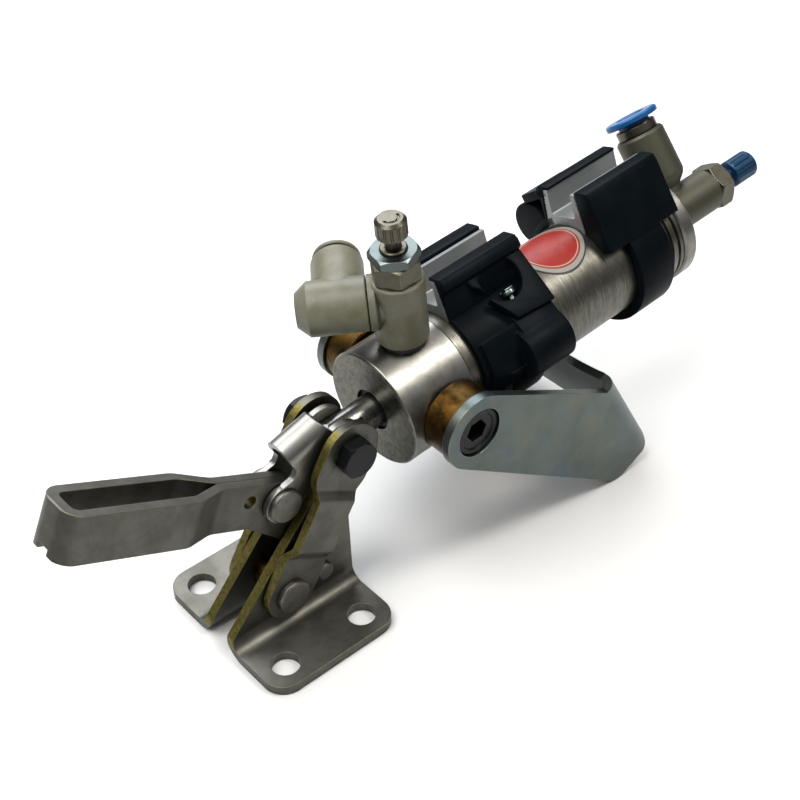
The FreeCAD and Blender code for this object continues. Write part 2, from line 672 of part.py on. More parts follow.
def cap_seals():
    """O-rings of the two spigots."""
    spigot = BORE_R - THREAD_FIT
    made = []
    for groove in (RETAINER_FRONT + SPIGOT_LENGTH / 2, END_CAP_FRONT - SPIGOT_LENGTH / 2):
        made.append(turned(ring(spigot - 1.5 * O_RING_R, spigot, groove - O_RING_R, groove + O_RING_R, 0.3), ALONG))
    return Part.makeCompound(made)


bushing_start = HEAD_FACE + SEAL_RECESS + SEAL_WIDTH
save_on_cylinder("piston_rod", piston_rod())
save_on_cylinder("piston", piston())
save_on_cylinder("piston_seals", piston_rings((0, 2), SEAL_CLEARANCE))
save_on_cylinder("piston_magnet", piston_rings((1,), SIDE_CLEARANCE))
nut_start = HEAD_FACE + PISTON_AT + PISTON_LENGTH
piston_nut = hexagon(PISTON_NUT_AF, nut_start, nut_start + PISTON_NUT_H, (False, True))
piston_nut = piston_nut.cut(turned(ring(0, PISTON_NECK_R + THREAD_FIT, 0, FAR)))
save_on_cylinder("piston_nut", placed(piston_nut, ALONG))
save_on_cylinder("rod_seal", turned(ring(ROD_R + SEAL_CLEARANCE, GLAND_R, HEAD_FACE + SEAL_RECESS,
                                         bushing_start), ALONG))
save_on_cylinder("rod_bushing", turned(ring(ROD_R + RUNNING_FIT, GLAND_R, bushing_start,
                                            HEAD_FACE + GLAND_DEPTH), ALONG))
save_on_cylinder("head_cap", head_cap())
save_on_cylinder("barrel", barrel())
save_on_cylinder("end_cap", end_cap())
save_on_cylinder("cap_seals", cap_seals())


# Trunnion bushes and screws, and the bracket that swings on them

TRUNNION = Placement(Vector(HEAD_FACE + TRUNNION_AT, 0, 0), Rotation(Vector(0, 0, 1), Vector(0, 1, 0)))


def trunnion_bush():
    """Bronze bush between the head and one leg of the bracket."""
    return turned(ring(TRUNNION_SCREW_R + THREAD_FIT, TRUNNION_BUSH_R, TRUNNION_FLAT, BRACKET_INNER, 0.4), TRUNNION)


def trunnion_screw():
    """Shoulder screw that carries the leg, with a hexagon socket."""
    end = BRACKET_OUTER_HALF - SHOULDER_RECESS
    body = turned([(0, TRUNNION_THREAD_END), (TRUNNION_SCREW_R, TRUNNION_THREAD_END),
                   (TRUNNION_SCREW_R, BRACKET_INNER), (SHOULDER_R, BRACKET_INNER), (SHOULDER_R, end - 0.4),
                   (SHOULDER_R - 0.4, end), (SHOULDER_R - 1.5, end), (SHOULDER_R - 1.9, end - 0.5), (0, end - 0.5)])
    socket = hexagon(SOCKET_AF, end - SOCKET_DEPTH, end + 1, (False, False))
    return placed(body.cut(socket), TRUNNION)


def cylinder_bracket():
    """U of sheet: two eyed legs on the trunnion and a sloping web with two fixing holes.

    It hangs from the trunnion and its toe rests on the plane that the base stands on.
    """
    web = math.radians(BRACKET_WEB_ANGLE)
    down = (math.cos(web), math.sin(web))
    outward = (-down[1], down[0])
    outer, inner = BRACKET_OUTER_HALF, BRACKET_INNER
    depth = BRACKET_WEB_TOP[0] * outward[0] + BRACKET_WEB_TOP[1] * outward[1]
    bend = BRACKET_BEND_R
    shell = prism([(-FAR, -outer, 0), (0, -outer, bend + BRACKET_T), (0, outer, bend + BRACKET_T), (-FAR, outer, 0)],
                  "xy", -FAR, FAR)
    room = prism([(-FAR, -inner, 0), (-BRACKET_T, -inner, bend), (-BRACKET_T, inner, bend), (-FAR, inner, 0)],
                 "xy", -FAR, FAR)
    turn = Rotation(Vector(0, 1, 0), -(BRACKET_WEB_ANGLE + 90))
    foot = (BRACKET_WEB_TOP[0] + BRACKET_WEB_LENGTH * down[0], BRACKET_WEB_TOP[1] + BRACKET_WEB_LENGTH * down[1])
    section = placed(shell.cut(room), Placement(Vector(depth * outward[0], 0, depth * outward[1]), turn))
    eye = BRACKET_EYE_R
    side = [(-eye * 0.485, -eye * 0.875, 0), (BRACKET_TOE[0], BRACKET_TOE[1], 6.0),
            (foot[0], foot[1], 5.0), (BRACKET_WEB_TOP[0], BRACKET_WEB_TOP[1], 1.0),
            (BRACKET_WEB_TOP[0] - 5.5, BRACKET_WEB_TOP[1] - 0.9, 3.0), (eye * 0.42, eye * 0.908, 0)]
    blank = prism(side, "xz", -outer, outer).fuse(turned(ring(0, eye, -outer, outer), across((0, 0))))
    shape = section.common(blank)
    shape = shape.cut(turned(ring(0, SHOULDER_R + RUNNING_FIT, -FAR, FAR), across((0, 0))))
    half = inner - bend
    sag_r = (half * half + BRACKET_WEB_SAG ** 2) / (2 * BRACKET_WEB_SAG)
    web_top = Vector(BRACKET_WEB_TOP[0], 0, BRACKET_WEB_TOP[1])
    lift = web_top + Vector(down[0], 0, down[1]) * (BRACKET_WEB_SAG - sag_r)
    side_on = Vector(outward[0], 0, outward[1])
    shape = shape.cut(Part.makeCylinder(sag_r, 24, lift - side_on * 12, side_on).common(
        Part.makeBox(FAR, 2 * half, FAR, Vector(0, -half, -FAR / 2))))
    for end in (-1, 1):
        centre = web_top + Vector(down[0], 0, down[1]) * BRACKET_HOLE_DOWN
        centre = centre + Vector(0, end * BRACKET_HOLE_PITCH / 2, 0)
        shape = shape.cut(Part.makeCylinder(BRACKET_HOLE_R, 20, centre - side_on * 10, side_on))
    pitch = math.radians(CYLINDER_PITCH)
    at = HEAD_FACE + TRUNNION_AT
    origin = Vector(KNEE[0] + at * math.cos(pitch), 0, KNEE[1] + at * math.sin(pitch))
    shape = placed(shape, Placement(origin, Rotation()))
    for _ in range(4):
        lowest = shape.optimalBoundingBox().ZMin
        shape.rotate(origin, Vector(0, 1, 0), math.degrees(lowest / BRACKET_TOE[0]))
    return shape


bush = trunnion_bush()
save_on_cylinder("trunnion_bush_left", bush)
save_on_cylinder("trunnion_bush_right", mirrored(bush))
screw = trunnion_screw()
save_on_cylinder("trunnion_screw_left", screw)
save_on_cylinder("trunnion_screw_right", mirrored(screw))
save("cylinder_bracket", cylinder_bracket())


# Front flow control: a metal core in the head, a swivelling housing and a swivelling elbow

FRONT_VALVE = Placement(Vector(HEAD_FACE + FRONT_VALVE_AT, 0, 0), Rotation())


def fluted(radius, low, high, flutes, depth):
    """Knurled knob blank with round flutes and broken edges."""
    shape = turned([(0, low), (radius - 0.5, low), (radius, low + 0.5), (radius, high - 0.9),
                    (radius - 0.9, high), (0, high)])
    for index in range(flutes):
        turn = math.radians(360 * index / flutes)
        centre = Vector(radius * math.cos(turn), radius * math.sin(turn), low - 1)
        shape = shape.cut(Part.makeCylinder(depth, (high - low) * 0.78 + 1, centre))
    return shape


def front_stub_frame():
    """Frame at the housing's side port, with Z out of the port."""
    turn = math.radians(FRONT_STUB_TURN)
    return frame_along(Vector(0, 0, FRONT_STUB_HEIGHT), Vector(math.cos(turn), math.sin(turn), 0))


def front_core():
    """Threaded stem, through passage, hexagon and the neck for the lock nut."""
    base = SPOT_FACE + GASKET_T
    top = FRONT_HOUSING_TOP + FRONT_HEX_H
    stem = turned(ring(0, PORT_THREAD_R, SPOT_FACE - 7, FRONT_HOUSING_TOP))
    hexed = hexagon(FRONT_HEX_AF, FRONT_HOUSING_TOP, top)
    neck = turned(ring(0, FRONT_NECK_R, top, top + LOCKNUT_H + 0.8, 0.3))
    shape = stem.fuse(hexed).fuse(neck)
    shape = shape.cut(turned(ring(0, PORT_THREAD_R - 1.8, SPOT_FACE - 8, FRONT_STUB_HEIGHT + 4)))
    shape = shape.cut(turned(ring(0, NEEDLE_R + RUNNING_FIT, base, FAR)))
    cross = Part.makeCylinder(1.6, 2 * PORT_THREAD_R + 1, Vector(-PORT_THREAD_R - 0.5, 0, FRONT_STUB_HEIGHT), Vector(1, 0, 0))
    return shape.cut(cross)


def front_housing():
    """Moulded banjo housing with a flanged side stub."""
    base = SPOT_FACE + GASKET_T
    shape = turned([(0, base), (FRONT_HOUSING_R - 1.0, base), (FRONT_HOUSING_R, base + 1.0),
                    (FRONT_HOUSING_R, FRONT_HOUSING_TOP - 0.5), (FRONT_HOUSING_R - 0.5, FRONT_HOUSING_TOP),
                    (0, FRONT_HOUSING_TOP)])
    stub = turned([(0, 0), (STUB_FLANGE_R - 1.6, 0), (STUB_FLANGE_R - 1.6, STUB_END - 2.6), (STUB_FLANGE_R, STUB_END - 1.8),
                   (STUB_FLANGE_R, STUB_END), (0, STUB_END)], front_stub_frame())
    spigot = turned(ring(0, ELBOW_R - 2.4, STUB_END - 1, STUB_END + 4), front_stub_frame())
    shape = shape.fuse(stub).fuse(spigot)
    shape = shape.cut(turned(ring(0, 2.6, 0, FAR), front_stub_frame()))
    return shape.cut(turned(ring(0, PORT_THREAD_R + RUNNING_FIT, 0, FAR)))


def tube_socket(end):
    """Cutter for a push-in port that ends at a distance along local Z: collet room and tube seat."""
    return turned([(0, end - TUBE_DEPTH - 3), (TUBE_R - 1.1, end - TUBE_DEPTH - 3), (TUBE_R - 1.1, end - TUBE_DEPTH),
                   (TUBE_R + 0.1, end - TUBE_DEPTH), (TUBE_R + 0.1, end - TUBE_DEPTH + 4), (COLLET_R, end - TUBE_DEPTH + 4),
                   (COLLET_R, end + 1), (0, end + 1)])


def release_collar(end, length, flange_r, flange_t, gap):
    """Sliding sleeve that frees the tube, with a flange to press on."""
    top = end + gap + flange_t
    return turned([(TUBE_R, end - length), (TUBE_R + COLLAR_WALL, end - length), (TUBE_R + COLLAR_WALL, end + gap),
                   (flange_r - 0.3, end + gap), (flange_r, end + gap + 0.3), (flange_r, top - 0.5),
                   (flange_r - 0.5, top), (TUBE_R + 0.6, top), (TUBE_R, top - 0.6)])


def grip_ring(end, length):
    """Metal ring with the teeth that hold the tube, seated in the port."""
    return turned([(TUBE_R + COLLAR_WALL + 0.05, end - length), (COLLET_R - 0.02, end - length),
                   (COLLET_R - 0.02, end), (TUBE_R + COLLAR_WALL + 0.05, end)])


def elbow_port_frame():
    """Frame of the elbow's tube port, square to the housing's stub."""
    turn = math.radians(FRONT_STUB_TURN)
    stub = Vector(math.cos(turn), math.sin(turn), 0)
    outward = Vector(stub.y, -stub.x, 0)
    centre = Vector(0, 0, FRONT_STUB_HEIGHT) + stub * ELBOW_CROSS
    return frame_along(centre, outward)


def front_elbow():
    """Moulded elbow that turns on the stub, with a coned end and a tube port."""
    start = STUB_END + 0.15
    run = turned([(0, start), (ELBOW_R - 0.4, start), (ELBOW_R, start + 0.4), (ELBOW_R, ELBOW_END),
                  (ELBOW_NOSE_R, ELBOW_NOSE), (0, ELBOW_NOSE)], front_stub_frame())
    port = turned(ring(0, ELBOW_PORT_R, 0, ELBOW_PORT_LENGTH, 0.5), elbow_port_frame())
    shape = run.fuse(port)
    shape = shape.cut(turned(ring(0, ELBOW_R - 2.3, 0, STUB_END + 4.2), front_stub_frame()))
    shape = shape.cut(turned(ring(0, 2.6, 0, ELBOW_CROSS + 2), front_stub_frame()))
    return shape.cut(placed(tube_socket(ELBOW_PORT_LENGTH), elbow_port_frame()))


def save_on_front_valve(name, shape):
    """Writes a sub-part that was drawn in the front flow control's frame."""
    save_on_cylinder(name, placed(shape, FRONT_VALVE))


hex_top = FRONT_HOUSING_TOP + FRONT_HEX_H
save_on_front_valve("front_valve_gasket", turned(ring(PORT_THREAD_R + THREAD_FIT, GASKET_R, SPOT_FACE, SPOT_FACE + GASKET_T)))
save_on_front_valve("front_valve_core", front_core())
save_on_front_valve("front_valve_housing", front_housing())
locknut = hexagon(LOCKNUT_AF, hex_top, hex_top + LOCKNUT_H).cut(turned(ring(0, FRONT_NECK_R + THREAD_FIT, 0, FAR)))
locknut.rotate(Vector(0, 0, 0), Vector(0, 0, 1), 20)
save_on_front_valve("front_valve_locknut", locknut)
knob_low = hex_top + LOCKNUT_H + FRONT_KNOB_GAP
knob = fluted(FRONT_KNOB_R, knob_low, knob_low + FRONT_KNOB_H, KNOB_FLUTES, 0.42)
needle = turned([(0, FRONT_STUB_HEIGHT + 2), (NEEDLE_R, FRONT_STUB_HEIGHT + 5), (NEEDLE_R, knob_low), (0, knob_low)])
arc_groove = turned([(FRONT_KNOB_R * 0.42, knob_low + FRONT_KNOB_H - 0.4), (FRONT_KNOB_R * 0.6, knob_low + FRONT_KNOB_H - 0.4),
                     (FRONT_KNOB_R * 0.6, knob_low + FRONT_KNOB_H + 1), (FRONT_KNOB_R * 0.42, knob_low + FRONT_KNOB_H + 1)])
arc_groove = arc_groove.common(Part.makeBox(FAR, FAR, FAR, Vector(-FAR / 2, -FAR, 0)))
save_on_front_valve("front_valve_knob", knob.fuse(needle).cut(arc_groove))
save_on_front_valve("front_elbow", front_elbow())
save_on_front_valve("front_release_collar", placed(release_collar(ELBOW_PORT_LENGTH, 4.0, ELBOW_R - 0.7, 1.6, COLLAR_GAP),
                                                   elbow_port_frame()))
save_on_front_valve("front_grip_ring", placed(grip_ring(ELBOW_PORT_LENGTH - 0.4, 3.0), elbow_port_frame()))


# Rear flow control: a hollow bolt on the axis, a swivelling cast body and its tube port

REAR_VALVE = Placement(Vector(CYLINDER_REAR, 0, 0), Rotation(Vector(0, 0, 1), Vector(1, 0, 0)))


def rear_port_frame():
    """Frame of the tube port in the rear valve's frame, square to the bolt."""
    turn = math.radians(REAR_PORT_TURN)
    direction = Vector(-math.sin(turn), math.cos(turn), 0)
    return frame_along(Vector(0, 0, REAR_SEAL_T + REAR_PORT_AT), direction)


def rear_bolt():
    """Hollow bolt with a hexagon, which clamps the cast body to the end cap."""
    low, high = REAR_SEAL_T, REAR_SEAL_T + BANJO_LENGTH
    stem = turned(ring(0, PORT_THREAD_R, -END_CAP_T - 3, high))
    shape = stem.fuse(hexagon(REAR_HEX_AF, high, high + REAR_HEX_H))
    shape = shape.cut(turned(ring(0, PORT_THREAD_R - 1.8, -END_CAP_T - 4, low + REAR_PORT_AT + 4)))
    shape = shape.cut(turned(ring(0, NEEDLE_R + RUNNING_FIT, 0, FAR)))
    cross = Part.makeCylinder(1.6, 2 * PORT_THREAD_R + 1, Vector(-PORT_THREAD_R - 0.5, 0, low + REAR_PORT_AT), Vector(1, 0, 0))
    return shape.cut(cross)


def rear_body():
    """Die-cast body: a plain barrel round the bolt, a neck and a stout round port."""
    low, high = REAR_SEAL_T, REAR_SEAL_T + BANJO_LENGTH
    banjo = turned(ring(0, BANJO_R, low, high, 0.3))
    neck = turned(ring(0, REAR_NECK_R, 0, REAR_PORT_START + 2), rear_port_frame())
    port = turned([(0, REAR_PORT_START - 2.4), (REAR_NECK_R, REAR_PORT_START - 2.4), (REAR_PORT_R - 0.6, REAR_PORT_START + 0.2),
                   (REAR_PORT_R, REAR_PORT_START + 1.6), (REAR_PORT_R, REAR_PORT_END - 0.8),
                   (REAR_PORT_R - 0.6, REAR_PORT_END), (0, REAR_PORT_END)], rear_port_frame())
    shape = banjo.fuse(neck).fuse(port)
    shape = shape.cut(turned(ring(0, PORT_THREAD_R + RUNNING_FIT, 0, FAR)))
    shape = shape.cut(turned(ring(0, 2.4, 0, REAR_PORT_END - TUBE_DEPTH), rear_port_frame()))
    return shape.cut(placed(tube_socket(REAR_PORT_END), rear_port_frame()))


def save_on_rear_valve(name, shape):
    """Writes a sub-part that was drawn in the rear flow control's frame."""
    save_on_cylinder(name, placed(shape, REAR_VALVE))


rear_hex_top = REAR_SEAL_T + BANJO_LENGTH + REAR_HEX_H
rear_ring_top = rear_hex_top + REAR_RING_H
rear_knob_low = rear_ring_top + REAR_KNOB_GAP
save_on_rear_valve("rear_valve_seal", turned(ring(PORT_THREAD_R + THREAD_FIT, REAR_SEAL_R, 0, REAR_SEAL_T)))
save_on_rear_valve("rear_valve_bolt", rear_bolt())
save_on_rear_valve("rear_valve_body", rear_body())
save_on_rear_valve("rear_valve_ring", turned([(NEEDLE_R + 0.3, rear_hex_top), (REAR_RING_R, rear_hex_top),
                                              (REAR_RING_R, rear_hex_top + 1.0), (REAR_RING_R - 1.4, rear_ring_top),
                                              (NEEDLE_R + 0.3, rear_ring_top)]))
rear_knob = fluted(REAR_KNOB_R, rear_knob_low, rear_knob_low + REAR_KNOB_H, KNOB_FLUTES, 0.3)
rear_needle = turned([(0, REAR_PORT_AT + 5), (NEEDLE_R, REAR_PORT_AT + 8), (NEEDLE_R, rear_knob_low), (0, rear_knob_low)])
save_on_rear_valve("rear_valve_knob", rear_knob.fuse(rear_needle))
nickel_end = REAR_PORT_END + REAR_COLLAR_H
save_on_rear_valve("rear_port_collar", placed(turned(ring(TUBE_R + COLLAR_WALL + 0.1, REAR_COLLAR_R, REAR_PORT_END,
                                                          nickel_end, 0.3)), rear_port_frame()))
save_on_rear_valve("rear_release_ring", placed(release_collar(nickel_end, 6.5, REAR_RELEASE_R, REAR_RELEASE_T, COLLAR_GAP),
                                               rear_port_frame()))
save_on_rear_valve("rear_grip_ring", placed(grip_ring(REAR_PORT_END, 3.5), rear_port_frame()))


# Sensor brackets. Each is drawn with the barrel's axis as X and the middle of its rail as up.

def bracket_frame(at, turned_round):
    """Frame of one bracket on the barrel, turned end for end where asked."""
    spin = Rotation(Vector(0, 0, 1), 180 if turned_round else 0)
    lean = Rotation(Vector(1, 0, 0), -RAIL_TURN)
    return Placement(Vector(HEAD_FACE + at, 0, 0), lean.multiply(spin))


def sensor_rail():
    """Extruded rail, open upwards, hollowed to sit on the barrel, with serrated sides."""
    half = RAIL_LENGTH / 2
    foot = BARREL_R - 3.0
    outer = [(-RAIL_FOOT_HALF, foot, 0), (RAIL_FOOT_HALF, foot, 0), (RAIL_TOP_HALF, RAIL_TOP, 0.4), (-RAIL_TOP_HALF, RAIL_TOP, 0.4)]
    room = RAIL_TOP_HALF - RAIL_WALL
    shape = prism(outer, "yz", -half, half)
    shape = shape.cut(prism([(-room, RAIL_FLOOR, 0.8), (room, RAIL_FLOOR, 0.8), (room, FAR, 0), (-room, FAR, 0)], "yz", -half - 1, half + 1))
    for index in range(RAIL_SERRATIONS):
        z = RAIL_TOP - 3.0 - 1.9 * index
        y = RAIL_TOP_HALF + (RAIL_FOOT_HALF - RAIL_TOP_HALF) * (RAIL_TOP - z) / (RAIL_TOP - foot)
        for side in (-1, 1):
            tooth = [(side * (y + 1), z - 0.6, 0), (side * (y - 0.5), z, 0), (side * (y + 1), z + 0.6, 0)]
            shape = shape.cut(prism(tooth, "yz", -half - 1, half + 1))
    return shape.cut(turned(ring(0, BARREL_R + BAND_CLEARANCE, -FAR, FAR), ALONG))


def rail_room():
    """The rail's outside with a little room, cut from what hooks over it."""
    half = RAIL_LENGTH / 2 + 5
    foot = BARREL_R - 3.0
    return prism([(-RAIL_FOOT_HALF - 0.1, foot, 0), (RAIL_FOOT_HALF + 0.1, foot, 0), (RAIL_TOP_HALF + 0.1, RAIL_TOP + 0.05, 0),
                  (-RAIL_TOP_HALF - 0.1, RAIL_TOP + 0.05, 0)], "yz", -half, half)


def lobe_seat():
    """Height of the flat on the lobe that the clamp screw's head stands on."""
    return LOBE_CENTRE[1] + LOBE_R - 1.6


def screw_frame():
    """Frame of the clamp screw, whose axis stands upright through the lobe."""
    return Placement(Vector(0, -CLAMP_SCREW_OUT, 0), Rotation())


def clamp_screw():
    """Slotted screw down through the lobe."""
    seat = lobe_seat()
    tail = LOBE_CENTRE[1] - CLAMP_NUT_SEAT - CLAMP_NUT_H - 0.6
    shape = turned([(0, tail), (CLAMP_SCREW_R, tail), (CLAMP_SCREW_R, seat), (CLAMP_HEAD_R, seat),
                    (CLAMP_HEAD_R, seat + CLAMP_HEAD_H - 0.5), (CLAMP_HEAD_R - 0.5, seat + CLAMP_HEAD_H),
                    (0, seat + CLAMP_HEAD_H)])
    slot = prism(rectangle(-FAR, -0.35, FAR, 0.35), "xy", seat + CLAMP_HEAD_H - 0.9, FAR)
    return placed(shape.cut(slot), screw_frame())


def clamp_nut():
    """Nut in the underside of the lobe."""
    top = LOBE_CENTRE[1] - CLAMP_NUT_SEAT
    nut = hexagon(CLAMP_NUT_AF, top - CLAMP_NUT_H, top, (True, False))
    return placed(nut.cut(turned(ring(0, CLAMP_SCREW_R + THREAD_FIT, -FAR, FAR))), screw_frame())


def sensor_band():
    """Plastic band: a flat plate hooked on the rail, a strap under the barrel and a screw lobe."""
    half_plate, half_band = RAIL_LENGTH / 2, BAND_WIDTH / 2
    inner_r = BARREL_R + BAND_CLEARANCE
    tilt = math.radians(BAND_TILT)
    normal = (math.cos(tilt), math.sin(tilt))
    run = (-normal[1], normal[0])
    tangent = (BAND_R * normal[0], BAND_R * normal[1])
    top = (RAIL_TOP + LIP_H - tangent[1]) / run[1]
    upper = (tangent[0] + run[0] * top, RAIL_TOP + LIP_H)
    low = (tangent[0] + run[0] * BAND_PLATE_END, tangent[1] + run[1] * BAND_PLATE_END)
    plate = prism([(upper[0] - 4.0, upper[1], 0), (upper[0], upper[1], 2.4), (low[0], low[1], 0.6),
                   (low[0] - 6, low[1] - 2.0, 0), (0.5, BARREL_R, 0), (upper[0] - 4.0, RAIL_TOP - 1, 0)],
                  "yz", -half_plate, half_plate)
    strap = turned(ring(inner_r, BAND_R, -half_band, half_band, 0.3), ALONG)
    keep = prism([(-FAR, -FAR, 0), (FAR, -FAR, 0), (FAR, 12.0, 0), (0, 12.0, 0), (0, LOBE_CENTRE[1] + 3.0, 0),
                  (-FAR, LOBE_CENTRE[1] + 3.0, 0)], "yz", -half_band, half_band)
    lobe_frame = frame_along(Vector(0, LOBE_CENTRE[0], LOBE_CENTRE[1]), Vector(1, 0, 0))
    lobe = turned(ring(0, LOBE_R, -half_band, half_band, 0.5), lobe_frame)
    shape = strap.common(keep).fuse(lobe).fuse(plate)
    shape = shape.cut(turned(ring(0, inner_r, -FAR, FAR), ALONG)).cut(rail_room())
    seat = lobe_seat()
    shape = shape.cut(turned(ring(0, CLAMP_SCREW_R + THREAD_FIT, -FAR, FAR), screw_frame()))
    shape = shape.cut(turned(ring(0, CLAMP_HEAD_R + 0.2, seat, FAR), screw_frame()))
    return shape.cut(turned(ring(0, CLAMP_NUT_AF / 2 + 0.5, -FAR, LOBE_CENTRE[1] - CLAMP_NUT_SEAT), screw_frame()))


def sensor_clamp():
    """Plastic jaw hooked on the other side of the rail, with a round cut-out and a screw tongue."""
    half = RAIL_LENGTH / 2
    drop = 9.4
    jaw_top = RAIL_TOP + LIP_H
    jaw = prism([(-4.2, jaw_top, 0.4), (-RAIL_TOP_HALF - 2.6, jaw_top, 1.6), (-RAIL_TOP_HALF - 4.6, jaw_top - 5.0, 0.6),
                 (-CLAMP_OUT, jaw_top - drop - 3.0, 0.6), (-CLAMP_OUT, jaw_top - drop - 3.0 - CLAMP_PLATE_T, 0),
                 (-RAIL_FOOT_HALF - 3.0, jaw_top - drop - CLAMP_PLATE_T, 1.0), (-RAIL_FOOT_HALF + 0.4, BARREL_R, 0),
                 (-4.2, RAIL_TOP - 1, 0)], "yz", -half, half)
    tongue = prism(rectangle(-FAR, -RAIL_TOP_HALF - 5.5, half - CLAMP_TONGUE, -FAR), "xy", -FAR, FAR)
    cutout = Part.makeCylinder(CLAMP_CUTOUT_R, 40, Vector(1.0, -RAIL_TOP_HALF - 7.4, 0))
    shape = jaw.cut(tongue.common(prism(rectangle(-half - 1, -FAR, half - CLAMP_TONGUE, -RAIL_TOP_HALF - 5.5), "xy", -FAR, FAR)))
    shape = shape.cut(cutout).cut(rail_room())
    return shape.cut(turned(ring(0, BARREL_R + BAND_CLEARANCE, -FAR, FAR), ALONG))


for name, at, turned_round in (("front", FRONT_RAIL_AT, False), ("rear", REAR_RAIL_AT, True)):
    frame = bracket_frame(at, turned_round)
    save_on_cylinder(f"{name}_sensor_rail", placed(sensor_rail(), frame))
    save_on_cylinder(f"{name}_sensor_band", placed(sensor_band(), frame))
    save_on_cylinder(f"{name}_sensor_clamp", placed(sensor_clamp(), frame))
    save_on_cylinder(f"{name}_clamp_screw", placed(clamp_screw(), frame))
    save_on_cylinder(f"{name}_clamp_nut", placed(clamp_nut(), frame))


def barrel_label():
    """Thin oval film stuck on top of the barrel."""
    film = turned(ring(BARREL_R, BARREL_R + LABEL_T, HEAD_FACE + LABEL_AT - 20, HEAD_FACE + LABEL_AT + 20), ALONG)
    ellipse = Part.Ellipse(Vector(0, 0, 0), LABEL_HALF_LENGTH, LABEL_HALF_WIDTH)
    face = Part.Face(Part.Wire([ellipse.toShape()]))
    stamp = face.extrude(Vector(0, 0, 40))
    frame = Placement(Vector(HEAD_FACE + LABEL_AT, 0, 0), Rotation(Vector(1, 0, 0), -LABEL_TURN))
    return film.common(placed(stamp, frame))


save_on_cylinder("barrel_label", barrel_label())
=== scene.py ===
import math
import typing

import bmesh
import bpy
from bpy.props import FloatProperty, FloatVectorProperty, PointerProperty
from mathutils import Matrix, Vector


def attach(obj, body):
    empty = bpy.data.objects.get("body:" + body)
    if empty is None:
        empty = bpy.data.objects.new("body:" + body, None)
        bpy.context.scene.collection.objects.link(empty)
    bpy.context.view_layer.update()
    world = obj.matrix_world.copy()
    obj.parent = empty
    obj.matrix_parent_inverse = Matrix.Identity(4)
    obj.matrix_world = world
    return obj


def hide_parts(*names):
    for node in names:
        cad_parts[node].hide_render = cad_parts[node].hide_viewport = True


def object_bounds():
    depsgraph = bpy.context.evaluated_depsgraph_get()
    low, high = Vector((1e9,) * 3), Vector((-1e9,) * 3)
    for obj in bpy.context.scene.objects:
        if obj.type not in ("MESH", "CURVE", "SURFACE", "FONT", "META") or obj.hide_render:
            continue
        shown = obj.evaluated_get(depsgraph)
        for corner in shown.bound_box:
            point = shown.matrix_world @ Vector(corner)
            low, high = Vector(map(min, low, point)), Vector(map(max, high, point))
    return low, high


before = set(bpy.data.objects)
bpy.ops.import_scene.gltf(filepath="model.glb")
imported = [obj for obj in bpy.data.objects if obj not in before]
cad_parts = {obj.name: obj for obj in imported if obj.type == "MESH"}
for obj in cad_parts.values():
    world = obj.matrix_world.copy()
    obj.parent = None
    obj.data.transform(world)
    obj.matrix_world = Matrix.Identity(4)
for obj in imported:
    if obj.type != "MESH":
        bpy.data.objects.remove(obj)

bl_info = {
    "name": "Pneumatic toggle clamp",
    "version": (1, 0, 0),
    "blender": (4, 5, 0),
    "location": "3D View > Sidebar > Toggle clamp",
    "description": "Finishes and stage for a toggle clamp that an air cylinder works",
    "category": "Object",
}

CAD_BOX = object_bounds()
MM = 0.001
# Radius of the round floor, wide enough for views from low down, and the gap under the clamp, in metres
FLOOR_RADIUS = 8.0
FLOOR_GAP = 0.0003

# The cylinder rises from the knee at this pitch, and its finishes run along or round its axis.
KNEE = Vector((20.8, 0.0, 50.5)) * MM
CYLINDER_PITCH = math.radians(5.1)

# Places in millimetres. From the knee along the cylinder: the head's face, the label's middle and the film's
# half sizes. In the scene: the flanges' top, the start of the arm's bare end and its far wall.
HEAD_FACE = 14.7
LABEL_MIDDLE = (HEAD_FACE + 68.3, 0.9, 16.2)
FILM_HALF = (11.1, 10.2)
FLANGE_TOP = 3.2
ARM_END = -50.0
ARM_FAR_WALL = -5.4


def linear(code):
    """Turns an sRGB hex code into the linear colour that shaders use."""
    levels = [int(code[i:i + 2], 16) / 255 for i in (1, 3, 5)]
    return tuple(v / 12.92 if v <= 0.04045 else ((v + 0.055) / 1.055) ** 2.4 for v in levels) + (1.0,)


def add_node(tree, kind, inputs=None, **settings):
    """Adds a node, with its settings, and with each input set to a value or linked to a socket."""
    made = tree.nodes.new(kind)
    for name, value in settings.items():
        setattr(made, name, value)
    for name, value in (inputs or {}).items():
        if isinstance(value, bpy.types.NodeSocket):
            tree.links.new(value, made.inputs[name])
        else:
            made.inputs[name].default_value = value
    return made


def colour_property(name, description, code):
    """A colour that the user can change, with its default as a hex code."""
    return FloatVectorProperty(name=name, description=description, subtype="COLOR", size=4,
                               min=0.0, max=1.0, default=linear(code))


